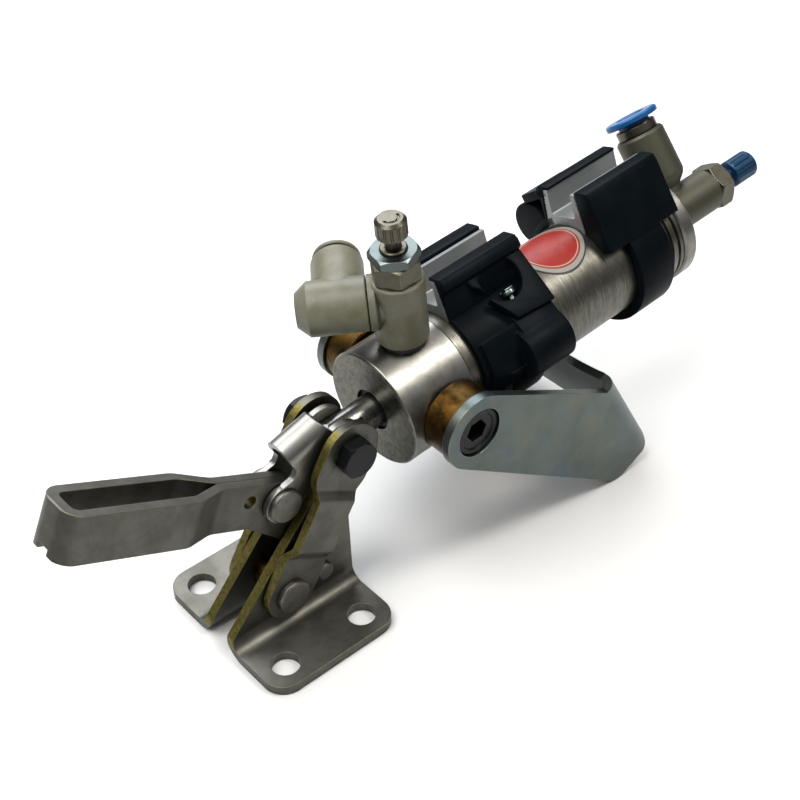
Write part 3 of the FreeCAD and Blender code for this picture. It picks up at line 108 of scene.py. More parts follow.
class ClampFinishes(bpy.types.PropertyGroup):
    """Colours of the clamp's finishes and sizes of the marks in them."""
    dull_steel: colour_property("Dull plated steel", "Base plates, links and arm", "#5c5b55")
    dull_steel_dark: colour_property("Dull steel, handled", "Darker patches of the dull steel", "#4e4d47")
    cut_edge: colour_property("Cut edge", "Passivated cut edges of the sheet", "#7d7446")
    blue_zinc: colour_property("Blue zinc", "Cylinder bracket", "#59625f")
    blue_zinc_dark: colour_property("Blue zinc, shaded", "Duller patches of the bracket", "#4b5350")
    polished_steel: colour_property("Polished steel", "Toggle channel", "#7c7c77")
    black_oxide: colour_property("Black oxide", "Socket screws and knee bolt", "#0a0d0f")
    bronze: colour_property("Bronze", "Trunnion bushes", "#4a3819")
    bronze_dark: colour_property("Bronze, oily", "Brown film on the bushes", "#20180c")
    turned_aluminium: colour_property("Turned aluminium", "Head and end cap", "#807f79")
    barrel_aluminium: colour_property("Barrel aluminium", "Drawn and brushed barrel", "#73726b")
    nickel: colour_property("Nickel", "Hexagons and knob of the flow controls", "#55534a")
    bright_zinc: colour_property("Bright zinc", "Lock nut and small screws", "#535b59")
    cast_zinc: colour_property("Die-cast zinc", "Rear flow control body", "#48483d")
    white_plastic: colour_property("White plastic", "Front flow control", "#575649")
    black_plastic: colour_property("Black plastic", "Sensor brackets", "#04080b")
    blue_plastic: colour_property("Blue plastic", "Release ring", "#06406f")
    blue_knob: colour_property("Blue knob", "Knob of the rear flow control", "#08304a")
    label_red: colour_property("Label red", "Printed film on the barrel", "#701a13")
    label_pale: colour_property("Label border", "Pale printing on the film", "#8d7468")
    chrome: colour_property("Hard chrome", "Piston rod", "#6f6f6b")
    rail_aluminium: colour_property("Rail aluminium", "Rails of the sensor brackets", "#848787")
    rubber: colour_property("Rubber", "Gaskets and seals", "#121212")
    floor: colour_property("Floor", "Studio floor", "#bcbcba")
    edge_radius: FloatProperty(name="Edge radius", description="Rounding seen on sheet edges, in mm",
                               default=0.35, min=0.05, max=1.5)
    brush_pitch: FloatProperty(name="Brush pitch", description="Spacing of the brushing lines, in mm",
                               default=0.35, min=0.1, max=2.0)
    turning_pitch: FloatProperty(name="Turning pitch", description="Spacing of the lathe lines, in mm",
                                 default=0.25, min=0.1, max=2.0)
    stain_size: FloatProperty(name="Stain size", description="Size of the handling stains, in mm",
                              default=9.0, min=1.0, max=40.0)
    mould_grain: FloatProperty(name="Mould grain", description="Grain of the moulded plastics, in mm",
                               default=0.5, min=0.1, max=2.0)


class ClampStage(bpy.types.PropertyGroup):
    """Camera and lights."""
    camera_place: FloatVectorProperty(name="Camera", description="Where the camera stands",
                                      subtype="TRANSLATION", unit="LENGTH", size=3,
                                      default=(-0.150459, -0.231944, 0.301666))
    heading: FloatProperty(name="Heading", description="Direction of view, from the X axis",
                           subtype="ANGLE", default=0.870)
    dip: FloatProperty(name="Dip", description="How far the view looks down", subtype="ANGLE",
                       default=0.693)
    roll: FloatProperty(name="Roll", description="Turn of the picture", subtype="ANGLE", default=-0.023)
    lens: FloatProperty(name="Lens", description="Focal length on a 36 mm sensor", unit="CAMERA",
                        default=64.81)
    key_power: FloatProperty(name="Key light", description="Power of the small light high on the right",
                             unit="POWER", default=5.0, min=0.0)
    rim_power: FloatProperty(name="Rim light", description="Power of the wide light behind the clamp",
                             unit="POWER", default=9.0, min=0.0)
    fill_power: FloatProperty(name="Fill light", description="Power of the square light overhead",
                              unit="POWER", default=11.0, min=0.0)
    sky: FloatProperty(name="Room light", description="Strength of the plain room around", default=0.7,
                       min=0.0)


# Ingredients that several finishes share

def start_material(name, colour, metallic, roughness, **sockets):
    """A material with a principled shader whose overall values are set on its own sockets."""
    material = bpy.data.materials.new(name)
    material.use_nodes = True
    tree = material.node_tree
    shader = tree.nodes["Principled BSDF"]
    shader.inputs["Base Color"].default_value = colour
    shader.inputs["Metallic"].default_value = metallic
    shader.inputs["Roughness"].default_value = roughness
    for socket, value in sockets.items():
        shader.inputs[socket.replace("_", " ")].default_value = value
    material.diffuse_color = colour
    return material, tree, shader


def along_cylinder(tree):
    """Object coordinates turned so that X runs along the cylinder and its axis is at the origin."""
    place = add_node(tree, "ShaderNodeTexCoord")
    moved = add_node(tree, "ShaderNodeVectorMath", {0: place.outputs["Object"], 1: KNEE},
                     operation="SUBTRACT")
    turned = add_node(tree, "ShaderNodeVectorRotate", {"Vector": moved.outputs[0], "Angle": CYLINDER_PITCH},
                      rotation_type="Y_AXIS")
    return turned.outputs[0]


def rounded_corners(tree, radius):
    """Normal that rounds edges and corners within a radius in millimetres."""
    return add_node(tree, "ShaderNodeBevel", {"Radius": radius * MM}, samples=6).outputs[0]


def edge_wear_and_sheen(tree, rounded, sharpness):
    """Mask, 1 where the rounded normal leaves the face and broken up as rubbing is: wear, and painted sheen
    on black plastic.
    """
    flat = add_node(tree, "ShaderNodeNewGeometry")
    facing = add_node(tree, "ShaderNodeVectorMath", {0: rounded, 1: flat.outputs["Normal"]},
                      operation="DOT_PRODUCT")
    patchy = add_node(tree, "ShaderNodeTexNoise", {"Scale": 1 / (2.2 * MM), "Detail": 3.0})
    level = add_node(tree, "ShaderNodeMapRange", {"Value": facing.outputs["Value"], "From Min": 0.995,
                                                  "From Max": 0.995 - sharpness})
    broken = add_node(tree, "ShaderNodeMapRange", {"Value": patchy.outputs[0], "From Min": 0.35,
                                                   "From Max": 0.6})
    mask = add_node(tree, "ShaderNodeMath", {0: level.outputs[0], 1: broken.outputs[0]},
                    operation="MULTIPLY")
    return mask.outputs[0]


def stains(tree, size, where, low=0.42, high=0.62):
    """Mask of soft stains of a size in millimetres, that starts and fills at two levels of the clouds."""
    clouds = add_node(tree, "ShaderNodeTexNoise", {"Vector": where, "Scale": 1 / (size * MM), "Detail": 6.0,
                                                   "Roughness": 0.62})
    mask = add_node(tree, "ShaderNodeMapRange", {"Value": clouds.outputs[0], "From Min": low,
                                                 "From Max": high})
    return mask.outputs[0]


def forward_cuts(tree):
    """Mask of the sheet's cut faces that look forward, above the flanges and narrower on the arm's end."""
    place = add_node(tree, "ShaderNodeTexCoord")
    facing = add_node(tree, "ShaderNodeSeparateXYZ", {0: place.outputs["Normal"]})
    at = add_node(tree, "ShaderNodeSeparateXYZ", {0: place.outputs["Object"]})
    ahead = add_node(tree, "ShaderNodeMapRange", {"Value": facing.outputs["X"], "From Min": -0.25,
                                                  "From Max": -0.45})
    side = add_node(tree, "ShaderNodeMath", {0: facing.outputs["Y"]}, operation="ABSOLUTE")
    square = add_node(tree, "ShaderNodeMapRange", {"Value": side.outputs[0], "From Min": 0.2,
                                                   "From Max": 0.08})
    above = add_node(tree, "ShaderNodeMapRange", {"Value": at.outputs["Z"], "From Min": FLANGE_TOP * MM,
                                                  "From Max": (FLANGE_TOP + 0.8) * MM})
    free_end = add_node(tree, "ShaderNodeMapRange", {"Value": at.outputs["X"], "From Min": ARM_END * MM,
                                                     "From Max": (ARM_END - 2) * MM})
    far = add_node(tree, "ShaderNodeMapRange", {"Value": at.outputs["Y"], "From Min": ARM_FAR_WALL * MM,
                                                "From Max": (ARM_FAR_WALL + 0.4) * MM})
    bare = add_node(tree, "ShaderNodeMath", {0: free_end.outputs[0], 1: far.outputs[0]},
                    operation="MULTIPLY")
    plated = add_node(tree, "ShaderNodeMath", {0: square.outputs[0], 1: bare.outputs[0]},
                      operation="SUBTRACT", use_clamp=True)
    cut = add_node(tree, "ShaderNodeMath", {0: ahead.outputs[0], 1: plated.outputs[0]}, operation="MULTIPLY")
    mask = add_node(tree, "ShaderNodeMath", {0: cut.outputs[0], 1: above.outputs[0]}, operation="MULTIPLY")
    return mask.outputs[0]


def drawn_lines(tree, where, pitch, stretch):
    """Fine lines with a pitch in millimetres, drawn out along the directions that have a low stretch."""
    scaled = add_node(tree, "ShaderNodeVectorMath", {0: where, 1: stretch}, operation="MULTIPLY")
    lines = add_node(tree, "ShaderNodeTexNoise", {"Vector": scaled.outputs[0], "Scale": 1 / (pitch * MM),
                                                  "Detail": 4.0, "Roughness": 0.7})
    return lines.outputs[0]


def painted_shade_and_grime(tree, distance, where):
    """Mask of painted shade from ambient occlusion, with patchy dirt, within a distance in millimetres of
    where surfaces meet.
    """
    # Ambient occlusion darkens the colour where surfaces meet, as painted shade; the noise adds patchy dirt.
    hollow = add_node(tree, "ShaderNodeAmbientOcclusion", {"Distance": distance * MM}, samples=6)
    patchy = add_node(tree, "ShaderNodeTexNoise", {"Vector": where, "Scale": 1 / (3.0 * MM), "Detail": 5.0})
    mixed = add_node(tree, "ShaderNodeMath", {0: hollow.outputs["AO"], 1: patchy.outputs[0]},
                     operation="ADD")
    mask = add_node(tree, "ShaderNodeMapRange", {"Value": mixed.outputs[0], "From Min": 1.25,
                                                 "From Max": 0.75})
    return mask.outputs[0]


def layered(tree, colour, *covers):
    """A colour with others laid over it in turn, each a pair of the mask that shows it and the colour."""
    for mask, cover in covers:
        mixed = add_node(tree, "ShaderNodeMix", {0: mask, 6: colour, 7: cover}, data_type="RGBA")
        colour = mixed.outputs[2]
    return colour


def finish_surface(tree, shader, colour, marks, rough_low, rough_high, depth, normal=None):
    """Links colour to the shader, and marks as a range of roughness and a bump of a depth in millimetres."""
    tree.links.new(colour, shader.inputs["Base Color"])
    rough = add_node(tree, "ShaderNodeMapRange", {"Value": marks, "To Min": rough_low, "To Max": rough_high})
    tree.links.new(rough.outputs[0], shader.inputs["Roughness"])
    bump = add_node(tree, "ShaderNodeBump", {"Height": marks, "Distance": depth * MM, "Strength": 1.0})
    if normal is not None:
        tree.links.new(normal, bump.inputs["Normal"])
    tree.links.new(bump.outputs[0], shader.inputs["Normal"])


# Finishes

def dull_plated_steel(look):
    """Zinc plated sheet steel, pressed and tumbled."""
    # Warm dark grey satin, cloudy from handling, with pale rubbed corners and olive gold cut edges.
    material, tree, shader = start_material("dull_plated_steel", look.dull_steel, 1.0, 0.4)
    where = add_node(tree, "ShaderNodeTexCoord").outputs["Object"]
    rounded = rounded_corners(tree, look.edge_radius)
    edge = edge_wear_and_sheen(tree, rounded, 0.25)
    cloud = stains(tree, look.stain_size, where)
    fine = drawn_lines(tree, where, 0.5, (1.0, 1.0, 1.0))
    gold = layered(tree, linear("#776e3a"), (stains(tree, 1.2, where, 0.3, 0.75), linear("#3f3b22")))
    # The near black layer darkens where surfaces meet: painted shade, with patchy dirt.
    worn = layered(tree, look.dull_steel, (cloud, look.dull_steel_dark),
                   (painted_shade_and_grime(tree, 3.0, where), linear("#1c1b17")), (forward_cuts(tree), gold),
                   (edge, look.cut_edge))
    finish_surface(tree, shader, worn, fine, 0.36, 0.54, 0.008, rounded)
    return material


def worn_rivet_steel(look):
    """Zinc plated rivets with their plating rubbed thin."""
    # Slightly paler satin than the sheet, with fine random scratches, and seats darkened by painted shade
    # with dirt.
    material, tree, shader = start_material("worn_rivet_steel", look.dull_steel, 1.0, 0.4)
    where = add_node(tree, "ShaderNodeTexCoord").outputs["Object"]
    rounded = rounded_corners(tree, look.edge_radius)
    edge = edge_wear_and_sheen(tree, rounded, 0.25)
    fine = drawn_lines(tree, where, 0.4, (1.0, 1.0, 1.0))
    worn = layered(tree, look.dull_steel, (stains(tree, 3.0, where), linear("#6a6861")),
                   (painted_shade_and_grime(tree, 1.5, where), linear("#1c1b17")), (edge, linear("#7c7a70")))
    finish_surface(tree, shader, worn, fine, 0.34, 0.54, 0.01, rounded)
    return material


def blue_zinc_sheet(look):
    """Blue passivated zinc on folded sheet."""
    # Cool grey with faint clouds and long scratches, and lighter cut edges.
    material, tree, shader = start_material("blue_zinc_sheet", look.blue_zinc, 1.0, 0.35)
    where = add_node(tree, "ShaderNodeTexCoord").outputs["Object"]
    rounded = rounded_corners(tree, look.edge_radius)
    edge = edge_wear_and_sheen(tree, rounded, 0.25)
    cloud = stains(tree, 14.0, where, 0.35, 0.7)
    scratches = drawn_lines(tree, where, 0.4, (0.12, 1.0, 0.6))
    worn = layered(tree, look.blue_zinc, (cloud, look.blue_zinc_dark),
                   (stains(tree, 20.0, where, 0.5, 0.7), linear("#62645a")),
                   (stains(tree, 17.0, where, 0.52, 0.72), linear("#4b5a64")), (edge, linear("#a3a698")))
    finish_surface(tree, shader, worn, scratches, 0.26, 0.46, 0.01, rounded)
    return material


def polished_pressed_steel(look):
    """Pressed steel, rubbed bright on its crown."""
    # Clean bright metal with drag lines along it, and its hollows darkened by painted shade with dirt.
    material, tree, shader = start_material("polished_pressed_steel", look.polished_steel, 1.0, 0.25)
    where = add_node(tree, "ShaderNodeTexCoord").outputs["Object"]
    rounded = rounded_corners(tree, look.edge_radius)
    lines = drawn_lines(tree, where, 0.4, (0.15, 1.0, 0.4))
    dirt_and_shade = layered(tree, look.polished_steel, (stains(tree, 6.0, where, 0.5, 0.8), linear("#74726b")),
                    (painted_shade_and_grime(tree, 0.8, where), linear("#3a3832")))
    finish_surface(tree, shader, dirt_and_shade, lines, 0.28, 0.42, 0.002, rounded)
    return material


def black_oxide_steel(look):
    """Blackened machined steel with a film of oil."""
    # Near black, with soft grey glints where corners have lost the black.
    material, tree, shader = start_material("black_oxide_steel", look.black_oxide, 0.7, 0.38)
    where = add_node(tree, "ShaderNodeTexCoord").outputs["Object"]
    rounded = rounded_corners(tree, 0.3)
    edge = edge_wear_and_sheen(tree, rounded, 0.3)
    fine = drawn_lines(tree, where, 0.6, (1.0, 1.0, 1.0))
    worn = layered(tree, look.black_oxide, (edge, linear("#262a2b")))
    finish_surface(tree, shader, worn, fine, 0.3, 0.48, 0.01, rounded)
    return material


def oiled_bronze(look):
    """Sintered bronze bush, brown with oil and scratched gold."""
    # Brown gold metal with lines round it and patches of dark film.
    material, tree, shader = start_material("oiled_bronze", look.bronze, 1.0, 0.42)
    place = add_node(tree, "ShaderNodeTexCoord").outputs["Object"]
    rounded = rounded_corners(tree, 0.3)
    edge = edge_wear_and_sheen(tree, rounded, 0.3)
    lines = drawn_lines(tree, place, 0.5, (0.2, 1.0, 0.2))
    film = stains(tree, 5.0, place, 0.40, 0.62)
    bright = layered(tree, look.bronze, (film, look.bronze_dark),
                     (stains(tree, 3.5, place, 0.46, 0.8), linear("#694719")), (edge, linear("#8c7849")))
    finish_surface(tree, shader, bright, lines, 0.28, 0.5, 0.01, rounded)
    return material


def hard_chrome(look):
    """Ground and hard chromed rod."""
    # Bright, with very fine lines round it and a thin oily smear.
    material, tree, shader = start_material("hard_chrome", look.chrome, 1.0, 0.2)
    where = along_cylinder(tree)
    lines = drawn_lines(tree, where, 0.3, (1.0, 0.1, 0.1))
    base = layered(tree, look.chrome, (stains(tree, 5.0, where, 0.5, 0.75), linear("#55544d")))
    finish_surface(tree, shader, base, lines, 0.22, 0.34, 0.002)
    return material


def turned_aluminium(look):
    """Turned aluminium, anodised clear and worn."""
    # Satin pale metal with lathe lines round the axis, faint stains and small dark pits.
    material, tree, shader = start_material("turned_aluminium", look.turned_aluminium, 1.0, 0.34)
    where = along_cylinder(tree)
    split = add_node(tree, "ShaderNodeSeparateXYZ", {0: where})
    radial = add_node(tree, "ShaderNodeCombineXYZ", {"X": split.outputs["Y"], "Y": split.outputs["Z"]})
    radius = add_node(tree, "ShaderNodeVectorMath", {0: radial.outputs[0]}, operation="LENGTH")
    rings = add_node(tree, "ShaderNodeCombineXYZ", {"X": split.outputs["X"], "Y": radius.outputs["Value"]})
    lines = drawn_lines(tree, rings.outputs[0], look.turning_pitch, (1.0, 1.0, 1.0))
    cloud = stains(tree, 7.0, where, 0.45, 0.7)
    pits = add_node(tree, "ShaderNodeTexVoronoi", {"Vector": where, "Scale": 1 / (2.4 * MM)})
    spots = add_node(tree, "ShaderNodeMapRange", {"Value": pits.outputs["Distance"], "From Min": 0.09,
                                                  "From Max": 0.05})
    rare = stains(tree, 12.0, where, 0.60, 0.66)
    marks = add_node(tree, "ShaderNodeMath", {0: spots.outputs[0], 1: rare}, operation="MULTIPLY")
    rounded = rounded_corners(tree, 0.4)
    edge = edge_wear_and_sheen(tree, rounded, 0.3)
    # The head's front face is painted darker: painted shade, with speckled stains on it.
    face = add_node(tree, "ShaderNodeMapRange", {"Value": split.outputs["X"], "To Max": 0.9,
                                                 "From Min": (HEAD_FACE + 0.5) * MM,
                                                 "From Max": (HEAD_FACE + 0.2) * MM})
    face_shade_and_speckles = layered(tree, linear("#5b5a4d"), (stains(tree, 1.4, where, 0.38, 0.66), linear("#2a2921")))
    # The near black layer darkens where surfaces meet: painted shade, with patchy dirt.
    bright = layered(tree, look.turned_aluminium, (cloud, linear("#5f5e58")), (face.outputs[0], face_shade_and_speckles),
                     (marks.outputs[0], linear("#1d1b17")), (painted_shade_and_grime(tree, 2.0, where), linear("#26241f")),
                     (edge, linear("#a9a899")))
    finish_surface(tree, shader, bright, lines, 0.24, 0.44, 0.01, rounded)
    return material


def brushed_aluminium_tube(look):
    """Drawn aluminium tube, brushed round and anodised clear."""
    # Fine lines round the tube that stretch the highlights along it, over greyer clouds.
    material, tree, shader = start_material("brushed_aluminium_tube", look.barrel_aluminium, 1.0, 0.36)
    where = along_cylinder(tree)
    lines = drawn_lines(tree, where, look.brush_pitch, (1.0, 0.08, 0.08))
    cloud = stains(tree, 9.0, where, 0.4, 0.7)
    strong = add_node(tree, "ShaderNodeMapRange", {"Value": lines, "From Min": 0.42, "From Max": 0.62})
    # The darkest layer darkens where surfaces meet: painted shade, with patchy dirt.
    dirt_and_shade = layered(tree, look.barrel_aluminium, (cloud, linear("#53524b")),
                    (strong.outputs[0], linear("#504e47")), (painted_shade_and_grime(tree, 2.0, where), linear("#26241f")))
    finish_surface(tree, shader, dirt_and_shade, lines, 0.26, 0.5, 0.02)
    return material


def extruded_aluminium(look):
    """Extruded aluminium rail, anodised clear."""
    # Matt pale grey with straight die lines along it.
    material, tree, shader = start_material("extruded_aluminium", look.rail_aluminium, 0.6, 0.5)
    where = along_cylinder(tree)
    lines = drawn_lines(tree, where, 0.35, (0.03, 1.0, 1.0))
    rounded = rounded_corners(tree, 0.25)
    base = layered(tree, look.rail_aluminium, (lines, linear("#6c6f6f")))
    finish_surface(tree, shader, base, lines, 0.3, 0.46, 0.012, rounded)
    return material


def nickel_plated_brass(look):
    """Machined brass, nickel plated and handled."""
    # Slightly yellow grey metal, its hollows darkened by painted shade with dirt.
    material, tree, shader = start_material("nickel_plated_brass", look.nickel, 1.0, 0.3)
    where = add_node(tree, "ShaderNodeTexCoord").outputs["Object"]
    rounded = rounded_corners(tree, 0.25)
    edge = edge_wear_and_sheen(tree, rounded, 0.3)
    fine = drawn_lines(tree, where, 0.5, (1.0, 1.0, 1.0))
    bright = layered(tree, look.nickel, (stains(tree, 3.0, where, 0.4, 0.65), linear("#4d493e")),
                     (painted_shade_and_grime(tree, 1.5, where), linear("#211f19")), (edge, linear("#97948a")))
    finish_surface(tree, shader, bright, fine, 0.2, 0.42, 0.01, rounded)
    return material


def bright_zinc_steel(look):
    """Bright zinc plate on a machined steel nut."""
    # Clear, slightly blue metal, its hollows darkened by painted shade with dirt.
    material, tree, shader = start_material("bright_zinc_steel", look.bright_zinc, 1.0, 0.22)
    where = add_node(tree, "ShaderNodeTexCoord").outputs["Object"]
    rounded = rounded_corners(tree, 0.25)
    fine = drawn_lines(tree, where, 0.6, (1.0, 1.0, 0.3))
    dirt_and_shade = layered(tree, look.bright_zinc, (stains(tree, 3.0, where, 0.5, 0.8), linear("#474d4b")),
                    (painted_shade_and_grime(tree, 1.2, where), linear("#242320")))
    finish_surface(tree, shader, dirt_and_shade, fine, 0.22, 0.38, 0.004, rounded)
    return material


def die_cast_zinc(look):
    """Zinc alloy, pressure die cast and left matt."""
    # Olive grey metal with a fine sandy skin, its hollows darkened by painted shade with dirt.
    material, tree, shader = start_material("die_cast_zinc", look.cast_zinc, 0.85, 0.5)
    where = add_node(tree, "ShaderNodeTexCoord").outputs["Object"]
    rounded = rounded_corners(tree, 0.3)
    edge = edge_wear_and_sheen(tree, rounded, 0.3)
    sand = drawn_lines(tree, where, 0.45, (1.0, 1.0, 1.0))
    bright = layered(tree, look.cast_zinc, (stains(tree, 6.0, where), linear("#4a493f")),
                     (painted_shade_and_grime(tree, 2.0, where), linear("#201f19")), (edge, linear("#7b7a6e")))
    finish_surface(tree, shader, bright, sand, 0.4, 0.62, 0.03, rounded)
    return material


def moulded_white_plastic(look):
    """Glass filled PBT, moulded and grown grey with handling."""
    # Warm off-white with a soft sheen, a fine moulded grain, and painted shade with dirt in its corners.
    material, tree, shader = start_material("moulded_white_plastic", look.white_plastic, 0.0, 0.42, IOR=1.55,
                                            Specular_IOR_Level=0.3)
    where = add_node(tree, "ShaderNodeTexCoord").outputs["Object"]
    rounded = rounded_corners(tree, 0.4)
    grain = drawn_lines(tree, where, look.mould_grain, (1.0, 1.0, 1.0))
    dirt_and_shade = layered(tree, look.white_plastic, (stains(tree, 8.0, where), linear("#4b4936")),
                    (painted_shade_and_grime(tree, 2.5, where), linear("#2f2c20")))
    finish_surface(tree, shader, dirt_and_shade, grain, 0.34, 0.52, 0.02, rounded)
    return material


def moulded_black_plastic(look):
    """Glass filled nylon, moulded in a polished tool."""
    # Blue black satin; its paler corners are a painted sheen, with some rubbing.
    material, tree, shader = start_material("moulded_black_plastic", look.black_plastic, 0.0, 0.46, IOR=1.53,
                                            Specular_IOR_Level=0.03)
    where = add_node(tree, "ShaderNodeTexCoord").outputs["Object"]
    rounded = rounded_corners(tree, 0.5)
    edge = edge_wear_and_sheen(tree, rounded, 0.4)
    grain = drawn_lines(tree, where, look.mould_grain, (1.0, 1.0, 1.0))
    rubbed = layered(tree, look.black_plastic, (stains(tree, 10.0, where), linear("#070c10")),
                     (edge, linear("#0f161b")))
    finish_surface(tree, shader, rubbed, grain, 0.32, 0.5, 0.015, rounded)
    return material


def moulded_blue_plastic(look):
    """Acetal, moulded glossy."""
    # Clear strong blue with a smooth gloss and slightly pale corners.
    material, tree, shader = start_material("moulded_blue_plastic", look.blue_plastic, 0.0, 0.3, IOR=1.48,
                                            Specular_IOR_Level=0.25)
    where = add_node(tree, "ShaderNodeTexCoord").outputs["Object"]
    rounded = rounded_corners(tree, 0.3)
    edge = edge_wear_and_sheen(tree, rounded, 0.4)
    grain = drawn_lines(tree, where, 0.7, (1.0, 1.0, 1.0))
    base = layered(tree, look.blue_plastic, (edge, linear("#2c68b4")))
    finish_surface(tree, shader, base, grain, 0.22, 0.38, 0.006, rounded)
    return material


def anodised_blue_knob(look):
    """Aluminium knob, turned, fluted and anodised blue."""
    # Deep metallic blue, its flutes darkened by painted shade with dirt.
    material, tree, shader = start_material("anodised_blue_knob", look.blue_knob, 0.55, 0.34)
    where = along_cylinder(tree)
    rounded = rounded_corners(tree, 0.25)
    edge = edge_wear_and_sheen(tree, rounded, 0.4)
    lines = drawn_lines(tree, where, 0.4, (1.0, 0.3, 0.3))
    base = layered(tree, look.blue_knob, (painted_shade_and_grime(tree, 1.0, where), linear("#061521")),
                   (edge, linear("#2b6794")))
    finish_surface(tree, shader, base, lines, 0.26, 0.44, 0.008, rounded)
    return material


def moulded_rubber(look):
    """Nitrile rubber, moulded."""
    # Matt black with a dusty bloom.
    material, tree, shader = start_material("moulded_rubber", look.rubber, 0.0, 0.65, IOR=1.52)
    where = add_node(tree, "ShaderNodeTexCoord").outputs["Object"]
    grain = drawn_lines(tree, where, 0.4, (1.0, 1.0, 1.0))
    base = layered(tree, look.rubber, (stains(tree, 3.0, where), linear("#242322")))
    finish_surface(tree, shader, base, grain, 0.55, 0.75, 0.01)
    return material


def printed_film(look):
    """Clear polyester film with a red printed oval, stuck on the barrel."""
    # Scuffed dark red oval with a thin pale line, inside a clear glossy margin with a dark rim.
    material, tree, shader = start_material("printed_film", look.label_red, 0.0, 0.3, IOR=1.5,
                                            Specular_IOR_Level=0.2)
    where = along_cylinder(tree)
    middle = Vector(LABEL_MIDDLE) * MM
    per_half = [1 / (half * MM) for half in FILM_HALF] + [0.0]
    moved = add_node(tree, "ShaderNodeVectorMath", {0: where, 1: middle}, operation="SUBTRACT")
    scaled = add_node(tree, "ShaderNodeVectorMath", {0: moved.outputs[0], 1: per_half}, operation="MULTIPLY")
    out = add_node(tree, "ShaderNodeVectorMath", {0: scaled.outputs[0]}, operation="LENGTH").outputs["Value"]
    # Parts of the way out to the film's edge: the print's edge, the pale line's two edges and the dark rim
    printed = add_node(tree, "ShaderNodeMapRange", {"Value": out, "From Min": 0.86, "From Max": 0.85})
    inside = add_node(tree, "ShaderNodeMapRange", {"Value": out, "From Min": 0.77, "From Max": 0.78})
    outside = add_node(tree, "ShaderNodeMapRange", {"Value": out, "From Min": 0.81, "From Max": 0.80})
    line = add_node(tree, "ShaderNodeMath", {0: inside.outputs[0], 1: outside.outputs[0]},
                    operation="MULTIPLY")
    rim = add_node(tree, "ShaderNodeMapRange", {"Value": out, "From Min": 0.965, "From Max": 0.975})
    scuffs = drawn_lines(tree, where, 0.5, (0.3, 1.0, 1.0))
    lined = layered(tree, look.label_red, (stains(tree, 4.0, where, 0.52, 0.7), linear("#5f150f")),
                    (line.outputs[0], look.label_pale))
    base = layered(tree, linear("#6e6d66"), (rim.outputs[0], linear("#24231f")), (printed.outputs[0], lined))
    finish_surface(tree, shader, base, scuffs, 0.3, 0.5, 0.006)
    return material


MADE = {}


def finish(make):
    """The one material that a finish makes, built when it is first asked for."""
    if make.__name__ not in MADE:
        MADE[make.__name__] = make(bpy.context.scene.clamp_finishes)
    return MADE[make.__name__]


def dress(nodes, make):
    """Gives carried CAD pieces a finish."""
    for name in nodes:
        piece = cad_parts[name]
        piece.data.materials.clear()
        piece.data.materials.append(finish(make))


class CLAMP_OT_base(bpy.types.Operator):
    """Finish the base plates, their rivets and the spacer bush"""
    bl_idname = "clamp.base"
    bl_label = "Base"

    def execute(self, context):
        dress(("base_plate_left", "base_plate_right"), dull_plated_steel)
        dress(("link_pivot_rivet", "arm_pivot_rivet"), worn_rivet_steel)
        dress(("pivot_spacer_bush",), oiled_bronze)
        return {"FINISHED"}


class CLAMP_OT_linkage(bpy.types.Operator):
    """Finish the links, the knee and the toggle channel"""
    bl_idname = "clamp.linkage"
    bl_label = "Linkage"

    def execute(self, context):
        dress(("link_left", "link_right"), dull_plated_steel)
        dress(("arm_channel_rivet",), worn_rivet_steel)
        dress(("toggle_channel",), polished_pressed_steel)
        dress(("knee_bolt", "knee_nut"), black_oxide_steel)
        dress(("knee_spacers",), blue_zinc_sheet)
        return {"FINISHED"}


class CLAMP_OT_arm(bpy.types.Operator):
    """Finish the clamping arm"""
    bl_idname = "clamp.arm"
    bl_label = "Clamping arm"

    def execute(self, context):
        dress(("clamp_arm",), dull_plated_steel)
        return {"FINISHED"}


class CLAMP_OT_cylinder(bpy.types.Operator):
    """Finish the cylinder, its rod and what is inside it"""
    bl_idname = "clamp.cylinder"
    bl_label = "Cylinder"

    def execute(self, context):
        dress(("head_cap", "end_cap", "piston"), turned_aluminium)
        dress(("barrel",), brushed_aluminium_tube)
        dress(("piston_rod",), hard_chrome)
        dress(("rod_bushing",), oiled_bronze)
        dress(("piston_nut",), bright_zinc_steel)
        dress(("rod_seal", "cap_seals", "piston_seals", "piston_magnet"), moulded_rubber)
        dress(("barrel_label",), printed_film)
        return {"FINISHED"}


class CLAMP_OT_mounting(bpy.types.Operator):
    """Finish the trunnion and the bracket"""
    bl_idname = "clamp.mounting"
    bl_label = "Trunnion and bracket"

    def execute(self, context):
        dress(("cylinder_bracket",), blue_zinc_sheet)
        dress(("trunnion_bush_left", "trunnion_bush_right"), oiled_bronze)
        dress(("trunnion_screw_left", "trunnion_screw_right"), black_oxide_steel)
        return {"FINISHED"}


class CLAMP_OT_front_valve(bpy.types.Operator):
    """Finish the front flow control"""
    bl_idname = "clamp.front_valve"
    bl_label = "Front flow control"

    def execute(self, context):
        dress(("front_valve_housing", "front_elbow", "front_release_collar"), moulded_white_plastic)
        dress(("front_valve_core", "front_valve_knob"), nickel_plated_brass)
        dress(("front_valve_locknut", "front_grip_ring"), bright_zinc_steel)
        dress(("front_valve_gasket",), moulded_rubber)
        return {"FINISHED"}


